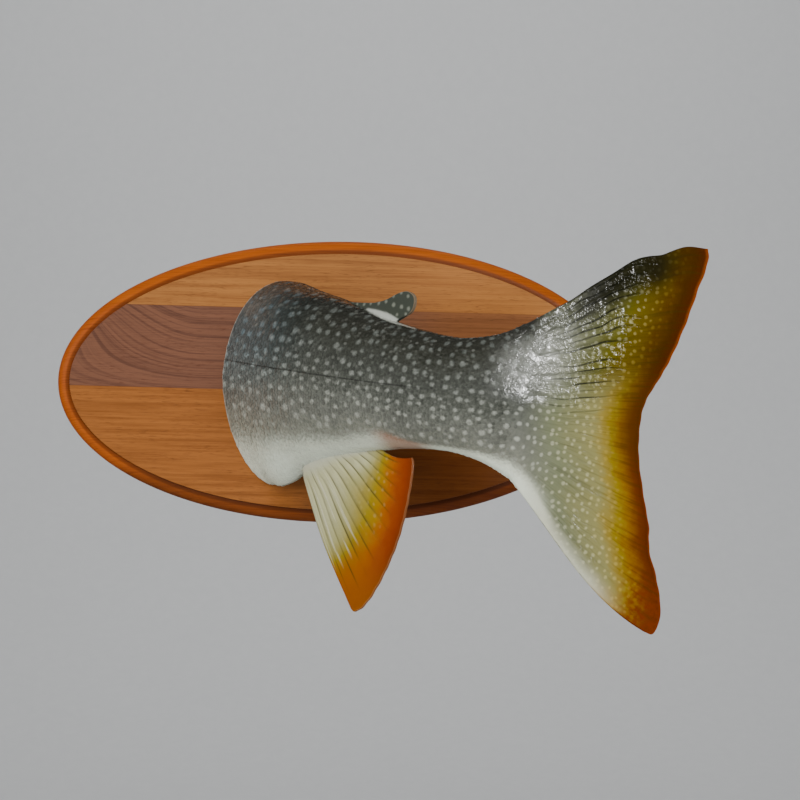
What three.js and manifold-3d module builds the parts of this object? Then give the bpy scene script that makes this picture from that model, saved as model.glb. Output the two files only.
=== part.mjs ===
// Lake trout tail mounted on an oval wall plaque.
//
// Millimetres, +Z up. The plaque hangs on a wall at Y = 0 and faces -Y. Its centre of the back face is
// the origin. The fish leaves the plaque's face and bends along it, so that the tail fin ends up parallel
// to the wall.
//
// Every point of the fish is given by three lengths: "along" the fish's middle line from the plaque's
// face, "up" from that line towards the back fin, and "out" from its mid-plane towards the room.

import * as THREE from 'three';
import Module from 'manifold-3d';

// ---------------------------------------------------------------------------------------------
// Driving dimensions
// ---------------------------------------------------------------------------------------------

const GAP = 0.3; // clearance between two parts that touch

const PLAQUE = {
  width: 406.4, // 16 in
  height: 203.2, // 8 in
  thickness: 19,
  backChamfer: 1,
  ovoloRadius: 8, // quarter round of the front edge
  stepWidth: 1.5, // flat ledge between quarter round and face
  stepHeight: 1.5,
  segments: 80,
};

const HANGER = {
  height: 62, // middle of the plate above the plaque's centre
  recess: { width: 54, height: 18, depth: 4, corner: 4 },
  plate: { width: 44, height: 9, thickness: 1.2, standoff: 1.2 },
  teeth: 9,
  toothHeight: 2.2,
  foot: { width: 6, height: 6 },
  nail: { radius: 2.4, height: 0.8, inset: 3.5 },
};

const FISH = {
  leaveX: -38, // where the middle line leaves the plaque's face
  leaveZ: 0,
  tilt: 7, // degrees: the back leans to the tail's side
  trunkStart: -58, // hidden end behind the face, trimmed away
  trunkEnd: 160, // where the trunk passes into the tail stalk
  stalkEnd: 226, // where the tail fin's rays begin
};

// Direction of the middle line at each length along it: degrees out from the plaque.
const TURNS = [
  { along: -60, turn: 58 },
  { along: 0, turn: 58 },
  { along: 60, turn: 54 },
  { along: 110, turn: 49 },
  { along: 150, turn: 42 },
  { along: 185, turn: 28 },
  { along: 215, turn: 12 },
  { along: 250, turn: 2 },
  { along: 360, turn: -1 },
];

// Cross-sections: height of the back and depth of the belly from the middle line, half of the width, the
// level of the widest place, and how square the upper and the lower half are (2 is an ellipse).
const SECTIONS = [
  { along: -60, back: 83, belly: 90, half: 40.8, level: 3.4, upper: 2.2, lower: 1.6 },
  { along: 0, back: 72.8, belly: 75.0, half: 38.4, level: 3.2, upper: 2.2, lower: 1.6 },
  { along: 12, back: 70.6, belly: 74.4, half: 37.4, level: 3.1, upper: 2.2, lower: 1.6 },
  { along: 23, back: 68.5, belly: 71.0, half: 36.5, level: 2.9, upper: 2.2, lower: 1.62 },
  { along: 33, back: 66.8, belly: 65.3, half: 35.6, level: 2.8, upper: 2.2, lower: 1.66 },
  { along: 42, back: 65.5, belly: 61.2, half: 34.6, level: 2.6, upper: 2.18, lower: 1.69 },
  { along: 60, back: 62.9, belly: 56, half: 32.6, level: 2.2, upper: 2.15, lower: 1.75 },
  { along: 90, back: 57.0, belly: 47.4, half: 28.8, level: 1.4, upper: 2.1, lower: 1.85 },
  { along: 122, back: 50.2, belly: 39.4, half: 24.6, level: 0.6, upper: 2.1, lower: 1.95 },
  { along: 150, back: 45.9, belly: 34.6, half: 21.4, level: 0, upper: 2.1, lower: 2.0 },
  { along: 182, back: 43.0, belly: 32.6, half: 18.2, level: 0, upper: 2.1, lower: 2.1 },
  { along: 202, back: 46.2, belly: 35.4, half: 15.0, level: 0, upper: 2.1, lower: 2.1 },
  { along: 215, back: 50.8, belly: 39.6, half: 11.6, level: 0, upper: 2.1, lower: 2.1 },
  { along: 226, back: 57.0, belly: 44.8, half: 8.4, level: 0, upper: 2.1, lower: 2.1 },
];

// Tail fin. "ray" runs from -1 at the lower leading edge to 1 at the upper one.
const TAIL_MARGIN = [
  { ray: -1.0, along: 326.5, up: -133.6 },
  { ray: -0.965, along: 332.2, up: -134.0 },
  { ray: -0.92, along: 335.6, up: -121.5 },
  { ray: -0.86, along: 333.6, up: -110.0 },
  { ray: -0.76, along: 329.6, up: -96.5 },
  { ray: -0.66, along: 323.4, up: -81.0 },
  { ray: -0.52, along: 321.0, up: -65.0 },
  { ray: -0.38, along: 315.6, up: -47.0 },
  { ray: -0.2, along: 308.9, up: -20.5 },
  { ray: 0.0, along: 307.2, up: 3.5 },
  { ray: 0.14, along: 309.4, up: 17.0 },
  { ray: 0.3, along: 315.8, up: 31.0 },
  { ray: 0.46, along: 321.8, up: 46.0 },
  { ray: 0.62, along: 328.2, up: 68.0 },
  { ray: 0.78, along: 333.4, up: 91.5 },
  { ray: 0.9, along: 337.2, up: 108.5 },
  { ray: 1.0, along: 336.4, up: 118.2 },
];

// Swells of the upper leading edge, in mm outwards, at shares of the edge's length.
const LEADING_SWELLS = [
  { share: 0.26, reach: 0.08, height: -1.1 },
  { share: 0.63, reach: 0.09, height: 2.3 },
  { share: 0.775, reach: 0.04, height: -0.8 },
  { share: 0.9, reach: 0.07, height: 2.0 },
];

const TAIL_FIN = {
  upperBow: { bow: 8.9, skew: 6.5 }, // how far the leading edges bow outwards
  lowerBow: { bow: 6.2, skew: 5.2 },
  flare: 9, // the upper lobe's tip swings out from the wall
  rootLength: 0.25, // share of a ray over which the fleshy root thins
  webHalf: 1.45, // half thickness just past the root
  rimHalf: 0.95, // half thickness at the margin
  raySteps: 11,
  acrossSteps: 13,
};

const ANAL_FIN = {
  from: 40, // base along the belly
  to: 120,
  sink: 7, // how far the root lies inside the body before it is trimmed to it
  bow: { bow: -5.6, skew: 3.5 },
  rearBow: -4.3, // the last ray dips clear of the belly
  rootLength: 0.35,
  rootHalf: 9.5,
  webHalf: 1.35,
  rimHalf: 0.9,
  raySteps: 10,
  acrossSteps: 12,
};

const ANAL_MARGIN = [
  { ray: 0.0, along: 115.4, up: -147.6 },
  { ray: 0.07, along: 120.6, up: -148.7 },
  { ray: 0.17, along: 130.2, up: -141.0 },
  { ray: 0.31, along: 141.2, up: -123.4 },
  { ray: 0.47, along: 150.3, up: -101.0 },
  { ray: 0.63, along: 155.0, up: -80.0 },
  { ray: 0.79, along: 156.9, up: -60.0 },
  { ray: 0.92, along: 157.0, up: -45.0 },
  { ray: 1.0, along: 155.4, up: -39.8 },
];

const ADIPOSE_FIN = {
  from: 68, // base along the back
  to: 121,
  sink: 5,
  bow: { bow: 1.5, skew: 0 },
  rearBow: 0,
  rootLength: 0.6,
  rootHalf: 4.4,
  webHalf: 2.0,
  rimHalf: 1.1,
  raySteps: 7,
  acrossSteps: 12,
};

const ADIPOSE_MARGIN = [
  { ray: 0.0, along: 73.0, up: 60.2 },
  { ray: 0.14, along: 86.0, up: 60.5 },
  { ray: 0.3, along: 100.5, up: 60.9 },
  { ray: 0.44, along: 113.5, up: 63.7 },
  { ray: 0.56, along: 125.5, up: 68.8 },
  { ray: 0.66, along: 134.0, up: 70.3 },
  { ray: 0.76, along: 140.4, up: 67.0 },
  { ray: 0.85, along: 141.0, up: 60.4 },
  { ray: 0.93, along: 137.2, up: 55.2 },
  { ray: 1.0, along: 130.0, up: 53.2 },
];

// ---------------------------------------------------------------------------------------------
// Finishes
// ---------------------------------------------------------------------------------------------

const FINISHES = {
  walnut: { color: 0x8a4f22, roughness: 0.28, metalness: 0 },
  zincSteel: { color: 0xb9b6ac, roughness: 0.4, metalness: 1 },
  flank: { color: 0x74776c, roughness: 0.22, metalness: 0 },
  stalk: { color: 0x7b7d70, roughness: 0.22, metalness: 0 },
  adipose: { color: 0x6f7566, roughness: 0.25, metalness: 0 },
  analFin: { color: 0xb9781c, roughness: 0.25, metalness: 0 },
  upperLobe: { color: 0x857a45, roughness: 0.22, metalness: 0 },
  lowerLobe: { color: 0x9a7c3a, roughness: 0.22, metalness: 0 },
};

// ---------------------------------------------------------------------------------------------
// Small mathematics
// ---------------------------------------------------------------------------------------------

const DEGREES = Math.PI / 180;

/** Slope of a key table's value at one key, from its neighbours. */
function keySlope(keys, index, input, output) {
  const before = keys[Math.max(index - 1, 0)];
  const after = keys[Math.min(index + 1, keys.length - 1)];
  return (after[output] - before[output]) / (after[input] - before[input]);
}

/** Smooth value between the keys of a table: a cubic through every key. */
function smoothKey(keys, input, output, at) {
  let index = 0;
  while (index < keys.length - 2 && keys[index + 1][input] < at) {
    index += 1;
  }
  const left = keys[index];
  const right = keys[index + 1];
  const span = right[input] - left[input];
  const t = (at - left[input]) / span;
  const slopeLeft = keySlope(keys, index, input, output) * span;
  const slopeRight = keySlope(keys, index + 1, input, output) * span;
  const t2 = t * t;
  const t3 = t2 * t;
  return (
    left[output] * (2 * t3 - 3 * t2 + 1)
    + slopeLeft * (t3 - 2 * t2 + t)
    + right[output] * (3 * t2 - 2 * t3)
    + slopeRight * (t3 - t2)
  );
}

/** Half width of a rounded shape at a height from -1 to 1, for a squareness of 2 or more. */
function roundness(height, squareness) {
  const power = Math.pow(Math.min(Math.abs(height), 1), squareness);
  return Math.pow(Math.max(1 - power, 0), 1 / squareness);
}

/** Numbers from start to end, crowded at both ends as on a circle. */
function roundedSteps(start, end, steps) {
  const middle = (start + end) / 2;
  const reach = (end - start) / 2;
  return Array.from({ length: steps + 1 }, (_, i) => middle - reach * Math.cos((Math.PI * i) / steps));
}

/** Evenly spaced numbers from start to end. */
function evenSteps(start, end, steps) {
  return Array.from({ length: steps + 1 }, (_, i) => start + ((end - start) * i) / steps);
}

// ---------------------------------------------------------------------------------------------
// The fish's own coordinates
// ---------------------------------------------------------------------------------------------

/** Middle line of the fish, measured off once in small steps along its turns. */
class MiddleLine {
  constructor(step = 1) {
    this.step = step;
    this.start = TURNS[0].along;
    this.points = this.walk();
    this.origin = this.pointAt(0);
  }

  turnAt(along) {
    return smoothKey(TURNS, 'along', 'turn', along) * DEGREES;
  }

  walk() {
    const end = TURNS[TURNS.length - 1].along;
    const points = [{ across: 0, depth: 0 }];
    for (let along = this.start + this.step; along <= end; along += this.step) {
      const last = points[points.length - 1];
      const turn = this.turnAt(along - this.step / 2);
      points.push({
        across: last.across + Math.cos(turn) * this.step,
        depth: last.depth + Math.sin(turn) * this.step,
      });
    }
    return points;
  }

  pointAt(along) {
    const place = (along - this.start) / this.step;
    const index = Math.min(Math.floor(place), this.points.length - 2);
    const share = place - index;
    const a = this.points[index];
    const b = this.points[index + 1];
    return {
      across: a.across + (b.across - a.across) * share,
      depth: a.depth + (b.depth - a.depth) * share,
    };
  }

  /** Place in the plaque's frame of a point given by its lengths along, up and out. */
  place(along, up, out) {
    const point = this.pointAt(along);
    const turn = this.turnAt(along);
    const across = point.across - this.origin.across - out * Math.sin(turn);
    const depth = point.depth - this.origin.depth + out * Math.cos(turn);
    const tilt = FISH.tilt * DEGREES;
    return new THREE.Vector3(
      FISH.leaveX + across * Math.cos(tilt) + up * Math.sin(tilt),
      -PLAQUE.thickness - depth,
      FISH.leaveZ - across * Math.sin(tilt) + up * Math.cos(tilt),
    );
  }
}

const LINE = new MiddleLine();

/** Section sizes at a length along the fish, each made larger by "grow". */
function sectionAt(along, grow = 0) {
  const size = (name) => smoothKey(SECTIONS, 'along', name, along);
  return {
    back: size('back') + grow,
    belly: size('belly') + grow,
    half: size('half') + grow,
    level: size('level'),
    upper: size('upper'),
    lower: size('lower'),
  };
}

/** Point of the body's surface: height from -1 (belly) to 1 (back), side 1 to the room, -1 to the wall. */
function bodyPoint(along, height, side, grow) {
  const section = sectionAt(along, grow);
  const above = height >= 0;
  const reach = above ? section.back - section.level : section.belly + section.level;
  const squareness = above ? section.upper : section.lower;
  const out = side * section.half * roundness(height, squareness);
  return LINE.place(along, section.level + height * reach, out);
}

// ---------------------------------------------------------------------------------------------
// Lofts
// ---------------------------------------------------------------------------------------------

/** Closed loop from a list of heights: up one side, down the other, with one point at each pole. */
function poleLoop(heights, pointAt) {
  const last = heights.length - 1;
  const loop = heights.map((height, i) => pointAt(height, i === 0 || i === last ? 0 : 1));
  for (let i = last - 1; i > 0; i -= 1) {
    loop.push(pointAt(heights[i], -1));
  }
  return loop;
}

/** Closed loop with two points at its first height, where the shape is parted, and one at its last. */
function partedLoop(heights, pointAt) {
  const last = heights.length - 1;
  const loop = heights.map((height, i) => pointAt(height, i === last ? 0 : 1));
  for (let i = last - 1; i >= 0; i -= 1) {
    loop.push(pointAt(heights[i], -1));
  }
  return loop;
}

/** Triangles that close a long thin loop by lacing one side to the other. */
function laceCap(start, count) {
  const triangles = [];
  let i = 0;
  let j = count - 1;
  while (j - i > 1) {
    triangles.push([start + i, start + i + 1, start + j]);
    i += 1;
    if (j - i > 1) {
      triangles.push([start + i, start + j - 1, start + j]);
      j -= 1;
    }
  }
  return triangles;
}

/** Signed volume of a triangle mesh. */
function signedVolume(points, triangles) {
  const cross = new THREE.Vector3();
  let volume = 0;
  for (const [a, b, c] of triangles) {
    volume += cross.crossVectors(points[a], points[b]).dot(points[c]) / 6;
  }
  return volume;
}

/** Indexed geometry of a closed mesh, turned so that its faces look out. */
function closedGeometry(points, triangles) {
  const outward = signedVolume(points, triangles) > 0;
  const faces = triangles.map(([a, b, c]) => (outward ? [a, b, c] : [a, c, b]));
  const geometry = new THREE.BufferGeometry();
  const positions = points.flatMap((point) => point.toArray());
  geometry.setAttribute('position', new THREE.Float32BufferAttribute(positions, 3));
  geometry.setIndex(faces.flat());
  return geometry;
}

/** Skin over a row of loops with equal numbers of points, closed at both ends. */
function loft(loops) {
  const count = loops[0].length;
  const triangles = laceCap(0, count).map(([a, b, c]) => [a, c, b]);
  for (let row = 0; row < loops.length - 1; row += 1) {
    for (let i = 0; i < count; i += 1) {
      const next = (i + 1) % count;
      const a = row * count + i;
      const b = row * count + next;
      triangles.push([a, b, b + count]);
      triangles.push([a, b + count, a + count]);
    }
  }
  triangles.push(...laceCap((loops.length - 1) * count, count));
  return closedGeometry(loops.flat(), triangles);
}

/** Length of the body between two places along it. */
function bodyLength(from, to, rings, around, grow = 0) {
  const heights = roundedSteps(-1, 1, around);
  const loops = evenSteps(from, to, rings).map((along) => (
    poleLoop(heights, (height, side) => bodyPoint(along, height, side, grow))
  ));
  return loft(loops);
}

// ---------------------------------------------------------------------------------------------
// Fins: fans of rays from a base to a margin
// ---------------------------------------------------------------------------------------------

/** Half thickness of a fin at a share of the ray's length. */
function finHalf(fin, rootHalf, share) {
  const root = Math.min(share / fin.rootLength, 1);
  const fade = 1 - root * root * (3 - 2 * root);
  const web = fin.webHalf + (fin.rimHalf - fin.webHalf) * share;
  return web + (rootHalf - web) * fade;
}

/** Half thickness of a mid-plane fin, whose fleshy root hollows out of the body. */
function fleshyHalf(fin, share) {
  const root = Math.min(share / fin.rootLength, 1);
  const web = fin.webHalf + (fin.rimHalf - fin.webHalf) * share;
  return web + (fin.rootHalf - web) * Math.pow(1 - root, 1.8);
}

/** Point in the fin's plane on a ray bowed to one side of its chord. */
function bowedRay(base, tip, share, bow, skew) {
  const along = tip.along - base.along;
  const up = tip.up - base.up;
  const length = Math.hypot(along, up);
  const hump = 4 * share * (1 - share) * (bow + skew * (2 * share - 1));
  return {
    along: base.along + along * share - (up / length) * hump,
    up: base.up + up * share + (along / length) * hump,
  };
}

/** Eased step from 0 to 1 between two values. */
function smoothStep(low, high, value) {
  const t = Math.min(Math.max((value - low) / (high - low), 0), 1);
  return t * t * (3 - 2 * t);
}

/** How far the upper leading edge swells upwards at a share of its length. */
function leadingSwell(share, ray) {
  const swell = LEADING_SWELLS.reduce((sum, { share: middle, reach, height }) => (
    sum + height * Math.exp(-(((share - middle) / reach) ** 2))
  ), 0);
  return swell * smoothStep(0.55, 1, ray);
}

/** Point of the tail fin's surface. */
function tailPoint(share, ray, side) {
  const upper = ray >= 0;
  const root = sectionAt(FISH.stalkEnd);
  const bow = upper ? TAIL_FIN.upperBow : TAIL_FIN.lowerBow;
  const turn = upper ? ray * ray : -ray * ray;
  const base = { along: FISH.stalkEnd + GAP, up: ray * (upper ? root.back : root.belly) };
  const tip = {
    along: smoothKey(TAIL_MARGIN, 'ray', 'along', ray),
    up: smoothKey(TAIL_MARGIN, 'ray', 'up', ray),
  };
  const point = bowedRay(base, tip, share, bow.bow * turn, bow.skew * turn);
  const squareness = 2.1 + 10 * Math.min(share / TAIL_FIN.rootLength, 1);
  const half = finHalf(TAIL_FIN, root.half, share) * roundness(ray, squareness);
  const flare = TAIL_FIN.flare * Math.pow(Math.max(ray, 0) * share, 2);
  return LINE.place(point.along, point.up + leadingSwell(share, ray), flare + side * half);
}

/** Share of a ray, crowded towards the root, where the fin thins fastest. */
function raySteps(fin) {
  return evenSteps(0, 1, fin.raySteps).map((share) => Math.pow(share, 1.25));
}

/** One lobe of the tail fin: upper is 1 for the upper lobe and -1 for the lower one. */
function tailLobe(upper) {
  const parting = (GAP / 2) / sectionAt(FISH.stalkEnd).belly;
  const rays = evenSteps(0, 1, TAIL_FIN.acrossSteps).map((t) => (
    upper * (parting + (1 - parting) * Math.sin((t * Math.PI) / 2))
  ));
  const loops = raySteps(TAIL_FIN).map((share) => (
    partedLoop(rays, (ray, side) => tailPoint(share, ray, side))
  ));
  return loft(loops);
}

/** Fin on the mid-plane: its base follows the back (edge 1) or the belly (edge -1). */
function ridgeFin(fin, margin, edge) {
  const rays = roundedSteps(0, 1, fin.acrossSteps);
  const loops = raySteps(fin).map((share) => (
    poleLoop(rays, (ray, side) => ridgeFinPoint(fin, margin, edge, share, ray, side))
  ));
  return loft(loops);
}

/** Point of a mid-plane fin's surface. */
function ridgeFinPoint(fin, margin, edge, share, ray, side) {
  const along = fin.from + (fin.to - fin.from) * ray;
  const section = sectionAt(along);
  const surface = edge > 0 ? section.back : section.belly;
  const base = { along, up: edge * (surface - fin.sink) };
  const tip = {
    along: smoothKey(margin, 'ray', 'along', ray),
    up: smoothKey(margin, 'ray', 'up', ray),
  };
  const front = (1 - ray) * (1 - ray);
  const bow = fin.bow.bow * front + fin.rearBow * Math.pow(ray, 4);
  const point = bowedRay(base, tip, share, bow, fin.bow.skew * front);
  const squareness = 2.1 + 5.9 * Math.min(share / fin.rootLength, 1);
  const half = fleshyHalf(fin, share) * roundness(2 * ray - 1, squareness);
  return LINE.place(point.along, point.up, side * half);
}

// ---------------------------------------------------------------------------------------------
// Solid operations
// ---------------------------------------------------------------------------------------------

const wasm = await Module();
wasm.setup();

/** Exact solid from a closed geometry. */
function toSolid(geometry) {
  const mesh = new wasm.Mesh({
    numProp: 3,
    vertProperties: Float32Array.from(geometry.getAttribute('position').array),
    triVerts: Uint32Array.from(geometry.index.array),
  });
  mesh.merge();
  return new wasm.Manifold(mesh);
}

/** Geometry from an exact solid. */
function fromSolid(solid) {
  const mesh = solid.getMesh();
  const geometry = new THREE.BufferGeometry();
  geometry.setAttribute('position', new THREE.BufferAttribute(Float32Array.from(mesh.vertProperties), 3));
  geometry.setIndex(new THREE.BufferAttribute(Uint32Array.from(mesh.triVerts), 1));
  return geometry;
}

/** Removes normals and texture coordinates, so that shared corners become one. */
function bare(geometry) {
  geometry.deleteAttribute('normal');
  geometry.deleteAttribute('uv');
  return geometry.index ? geometry.toNonIndexed() : geometry;
}

/** Exact solid from a three.js primitive. */
function primitiveSolid(geometry, x = 0, y = 0, z = 0) {
  const plain = bare(geometry);
  plain.translate(x, y, z);
  const count = plain.getAttribute('position').count;
  plain.setIndex(Array.from({ length: count }, (_, i) => i));
  return toSolid(plain);
}

/** What lies in front of the plaque's face, clear of it. */
function inFrontOfFace(geometry) {
  return toSolid(geometry).trimByPlane([0, -1, 0], PLAQUE.thickness + GAP);
}

// ---------------------------------------------------------------------------------------------
// Plaque and hanger
// ---------------------------------------------------------------------------------------------

/** Edge profile from the back to the face: inset from the outline and depth from the wall. */
function plaqueProfile() {
  const chamfer = PLAQUE.backChamfer;
  const ledge = PLAQUE.thickness - PLAQUE.stepHeight;
  const radius = PLAQUE.ovoloRadius;
  const profile = [{ inset: chamfer, depth: 0 }, { inset: 0, depth: chamfer }];
  for (const angle of evenSteps(0, Math.PI / 2, 6)) {
    profile.push({
      inset: radius * (1 - Math.cos(angle)),
      depth: ledge - radius + radius * Math.sin(angle),
    });
  }
  profile.push({ inset: radius + PLAQUE.stepWidth, depth: ledge });
  profile.push({ inset: radius + PLAQUE.stepWidth, depth: PLAQUE.thickness });
  return profile;
}

/** Oval ring at one place of the profile, set in square to the outline. */
function plaqueRing({ inset, depth }) {
  const halfWidth = PLAQUE.width / 2;
  const halfHeight = PLAQUE.height / 2;
  return Array.from({ length: PLAQUE.segments }, (_, i) => {
    const angle = (2 * Math.PI * i) / PLAQUE.segments;
    const normal = new THREE.Vector2(Math.cos(angle) * halfHeight, Math.sin(angle) * halfWidth);
    normal.normalize();
    const x = Math.cos(angle) * halfWidth - inset * normal.x;
    const z = Math.sin(angle) * halfHeight - inset * normal.y;
    return new THREE.Vector3(x, -depth, z);
  });
}

/** Rounded rectangle centred on the origin. */
function roundedRectangle(width, height, corner) {
  const x = width / 2;
  const y = height / 2;
  const shape = new THREE.Shape();
  shape.moveTo(-x + corner, -y);
  shape.lineTo(x - corner, -y);
  shape.absarc(x - corner, -y + corner, corner, -Math.PI / 2, 0);
  shape.lineTo(x, y - corner);
  shape.absarc(x - corner, y - corner, corner, 0, Math.PI / 2);
  shape.lineTo(-x + corner, y);
  shape.absarc(-x + corner, y - corner, corner, Math.PI / 2, Math.PI);
  shape.lineTo(-x, -y + corner);
  shape.absarc(-x + corner, -y + corner, corner, Math.PI, 1.5 * Math.PI);
  return shape;
}

/** Slab of a drawn outline, standing against the wall: its back lies at y = 0. */
function wallSlab(shape, depth) {
  const slab = new THREE.ExtrudeGeometry(shape, { depth, bevelEnabled: false, curveSegments: 5 });
  return slab.rotateX(Math.PI / 2);
}

function makePlaque() {
  const blank = toSolid(loft(plaqueProfile().map(plaqueRing)));
  const { width, height, depth, corner } = HANGER.recess;
  const recess = primitiveSolid(
    wallSlab(roundedRectangle(width, height, corner), depth + 1), 0, 1, HANGER.height,
  );
  return fromSolid(blank.subtract(recess));
}

/** Outline of the hanger plate, with teeth along its lower edge for the nail to catch. */
function toothedOutline() {
  const { width, height } = HANGER.plate;
  const plain = HANGER.foot.width;
  const pitch = (width - 2 * plain) / HANGER.teeth;
  const shape = new THREE.Shape();
  shape.moveTo(-width / 2, height / 2);
  shape.lineTo(-width / 2, -height / 2);
  shape.lineTo(-width / 2 + plain, -height / 2);
  for (let tooth = 0; tooth < HANGER.teeth; tooth += 1) {
    const left = -width / 2 + plain + tooth * pitch;
    shape.lineTo(left + pitch / 2, -height / 2 + HANGER.toothHeight);
    shape.lineTo(left + pitch, -height / 2);
  }
  shape.lineTo(width / 2, -height / 2);
  shape.lineTo(width / 2, height / 2);
  return shape;
}

/** Hanger plate on two feet, held by two nails whose heads show. */
function makeHanger() {
  const { width, thickness, standoff } = HANGER.plate;
  const floor = -HANGER.recess.depth + GAP;
  const back = floor + standoff + thickness;
  let hanger = primitiveSolid(wallSlab(toothedOutline(), thickness), 0, back, HANGER.height);
  for (const side of [-1, 1]) {
    const footX = side * (width / 2 - HANGER.foot.width / 2);
    const foot = new THREE.BoxGeometry(HANGER.foot.width, standoff + thickness / 2, HANGER.foot.height);
    hanger = hanger.add(primitiveSolid(foot, footX, floor + (standoff + thickness / 2) / 2, HANGER.height));
    const nail = new THREE.CylinderGeometry(
      HANGER.nail.radius * 0.8, HANGER.nail.radius, HANGER.nail.height + thickness / 2, 12,
    );
    const nailX = side * (width / 2 - HANGER.nail.inset);
    const nailY = back + (HANGER.nail.height - thickness / 2) / 2;
    hanger = hanger.add(primitiveSolid(nail, nailX, nailY, HANGER.height));
  }
  return fromSolid(hanger);
}

// ---------------------------------------------------------------------------------------------
// Assembly
// ---------------------------------------------------------------------------------------------

/** Named mesh in its own finish. */
function makeMesh(name, geometry, finish) {
  const material = new THREE.MeshStandardMaterial(FINISHES[finish]);
  material.name = finish;
  const mesh = new THREE.Mesh(geometry, material);
  mesh.name = name;
  return mesh;
}

const trunk = inFrontOfFace(bodyLength(FISH.trunkStart, FISH.trunkEnd, 30, 20));
const trunkSpace = toSolid(bodyLength(FISH.trunkStart, FISH.trunkEnd, 30, 20, GAP));
const stalk = bodyLength(FISH.trunkEnd + GAP, FISH.stalkEnd, 11, 20);
const analFin = toSolid(ridgeFin(ANAL_FIN, ANAL_MARGIN, -1)).subtract(trunkSpace);
const adiposeFin = toSolid(ridgeFin(ADIPOSE_FIN, ADIPOSE_MARGIN, 1)).subtract(trunkSpace);

const plaqueGroup = new THREE.Group();
plaqueGroup.name = 'plaque_assembly';
plaqueGroup.add(makeMesh('plaque', makePlaque(), 'walnut'));
plaqueGroup.add(makeMesh('hanger', makeHanger(), 'zincSteel'));

const fishGroup = new THREE.Group();
fishGroup.name = 'fish_tail';
fishGroup.add(makeMesh('trunk', fromSolid(trunk), 'flank'));
fishGroup.add(makeMesh('tail_stalk', stalk, 'stalk'));
fishGroup.add(makeMesh('adipose_fin', fromSolid(adiposeFin), 'adipose'));
fishGroup.add(makeMesh('anal_fin', fromSolid(analFin), 'analFin'));
fishGroup.add(makeMesh('tail_fin_upper_lobe', tailLobe(1), 'upperLobe'));
fishGroup.add(makeMesh('tail_fin_lower_lobe', tailLobe(-1), 'lowerLobe'));

const mount = new THREE.Group();
mount.name = 'mounted_lake_trout_tail';
mount.add(plaqueGroup, fishGroup);

export default mount;
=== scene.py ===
"""Dresses the lake trout tail mount: a scaled, lacquered fish tail that curves out of an oval plaque.

The fish keeps coordinates of its own, in millimetres: "along" its middle line from the plaque's face,
"up" from that line towards the back, and "out" from its mid-plane towards the room. Every shape of the
fish is worked out in them and then laid into the frame, in metres.
"""

import logging
import math
from dataclasses import dataclass, field
from enum import Enum
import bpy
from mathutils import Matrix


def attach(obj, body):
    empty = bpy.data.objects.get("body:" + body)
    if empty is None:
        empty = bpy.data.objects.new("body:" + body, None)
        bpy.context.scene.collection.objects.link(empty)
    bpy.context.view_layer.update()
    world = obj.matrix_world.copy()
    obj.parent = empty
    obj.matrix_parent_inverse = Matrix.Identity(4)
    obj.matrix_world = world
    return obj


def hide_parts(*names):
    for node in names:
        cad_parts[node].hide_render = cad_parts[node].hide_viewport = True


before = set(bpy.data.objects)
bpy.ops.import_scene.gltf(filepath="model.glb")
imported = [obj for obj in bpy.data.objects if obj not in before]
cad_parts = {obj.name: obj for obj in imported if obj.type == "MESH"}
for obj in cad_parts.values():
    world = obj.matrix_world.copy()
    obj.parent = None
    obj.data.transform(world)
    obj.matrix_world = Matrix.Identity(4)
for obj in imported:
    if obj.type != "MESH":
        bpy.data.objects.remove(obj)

from types import SimpleNamespace

import bmesh
import bpy
import numpy as np
from bpy.types import Material, Mesh, Node, NodeSocket, NodeTree, Object
from mathutils import Matrix, Vector, kdtree

Array = np.ndarray
log = logging.getLogger("trout_tail")
MM = 0.001
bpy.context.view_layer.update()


# --- Small mathematics ----------------------------------------------------------------------


class KeyCurve:
    """Smooth curve through keyed values: a cubic through every key."""

    def __init__(self, keys: list[tuple[float, float]]) -> None:
        """Keeps the keys and the slope at each.

        Args:
            keys: Pairs of place and value, in order of place.
        """
        self.place = np.array([key[0] for key in keys], float)
        self.value = np.array([key[1] for key in keys], float)
        before = np.r_[0, np.arange(len(keys) - 1)]
        after = np.r_[np.arange(1, len(keys)), len(keys) - 1]
        rise = self.value[after] - self.value[before]
        self.slope = rise / (self.place[after] - self.place[before])

    def __call__(self, at: Array) -> Array:
        """Value at each place.

        Args:
            at: Places along the curve.

        Returns:
            The curve's value at each of them.
        """
        at = np.asarray(at, float)
        left = np.clip(np.searchsorted(self.place, at, side="right") - 1, 0, len(self.place) - 2)
        span = self.place[left + 1] - self.place[left]
        t = (at - self.place[left]) / span
        t2, t3 = t * t, t * t * t
        start = self.value[left] * (2 * t3 - 3 * t2 + 1) + self.slope[left] * span * (t3 - 2 * t2 + t)
        end = self.value[left + 1] * (3 * t2 - 2 * t3) + self.slope[left + 1] * span * (t3 - t2)
        return start + end


def smoothstep(low: float, high: float, value: Array) -> Array:
    """Share from 0 at low to 1 at high, easing at both ends."""
    t = np.clip((np.asarray(value, float) - low) / (high - low), 0.0, 1.0)
    return t * t * (3 - 2 * t)


def roundness(height: Array, squareness: Array) -> Array:
    """Half width of a rounded shape at a height from -1 to 1; a squareness of 2 is an ellipse."""
    power = np.clip(np.abs(height), 0, 1) ** squareness
    return np.clip(1 - power, 0, None) ** (1 / squareness)


def gap_to(line: Array, points: Array, width: object = 0.0) -> Array:
    """Distance in mm from each point to the nearest edge of a line.

    Args:
        line: Points of the line.
        points: The points that are asked about.
        width: Half-width of the line in mm, one for all or one for each of its points.

    Returns:
        One distance for each point.
    """
    widths = np.broadcast_to(width, len(line))
    gaps = [np.linalg.norm(points - spot, axis=1) / MM - half for spot, half in zip(line, widths)]
    return np.min(gaps, axis=0)


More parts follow.
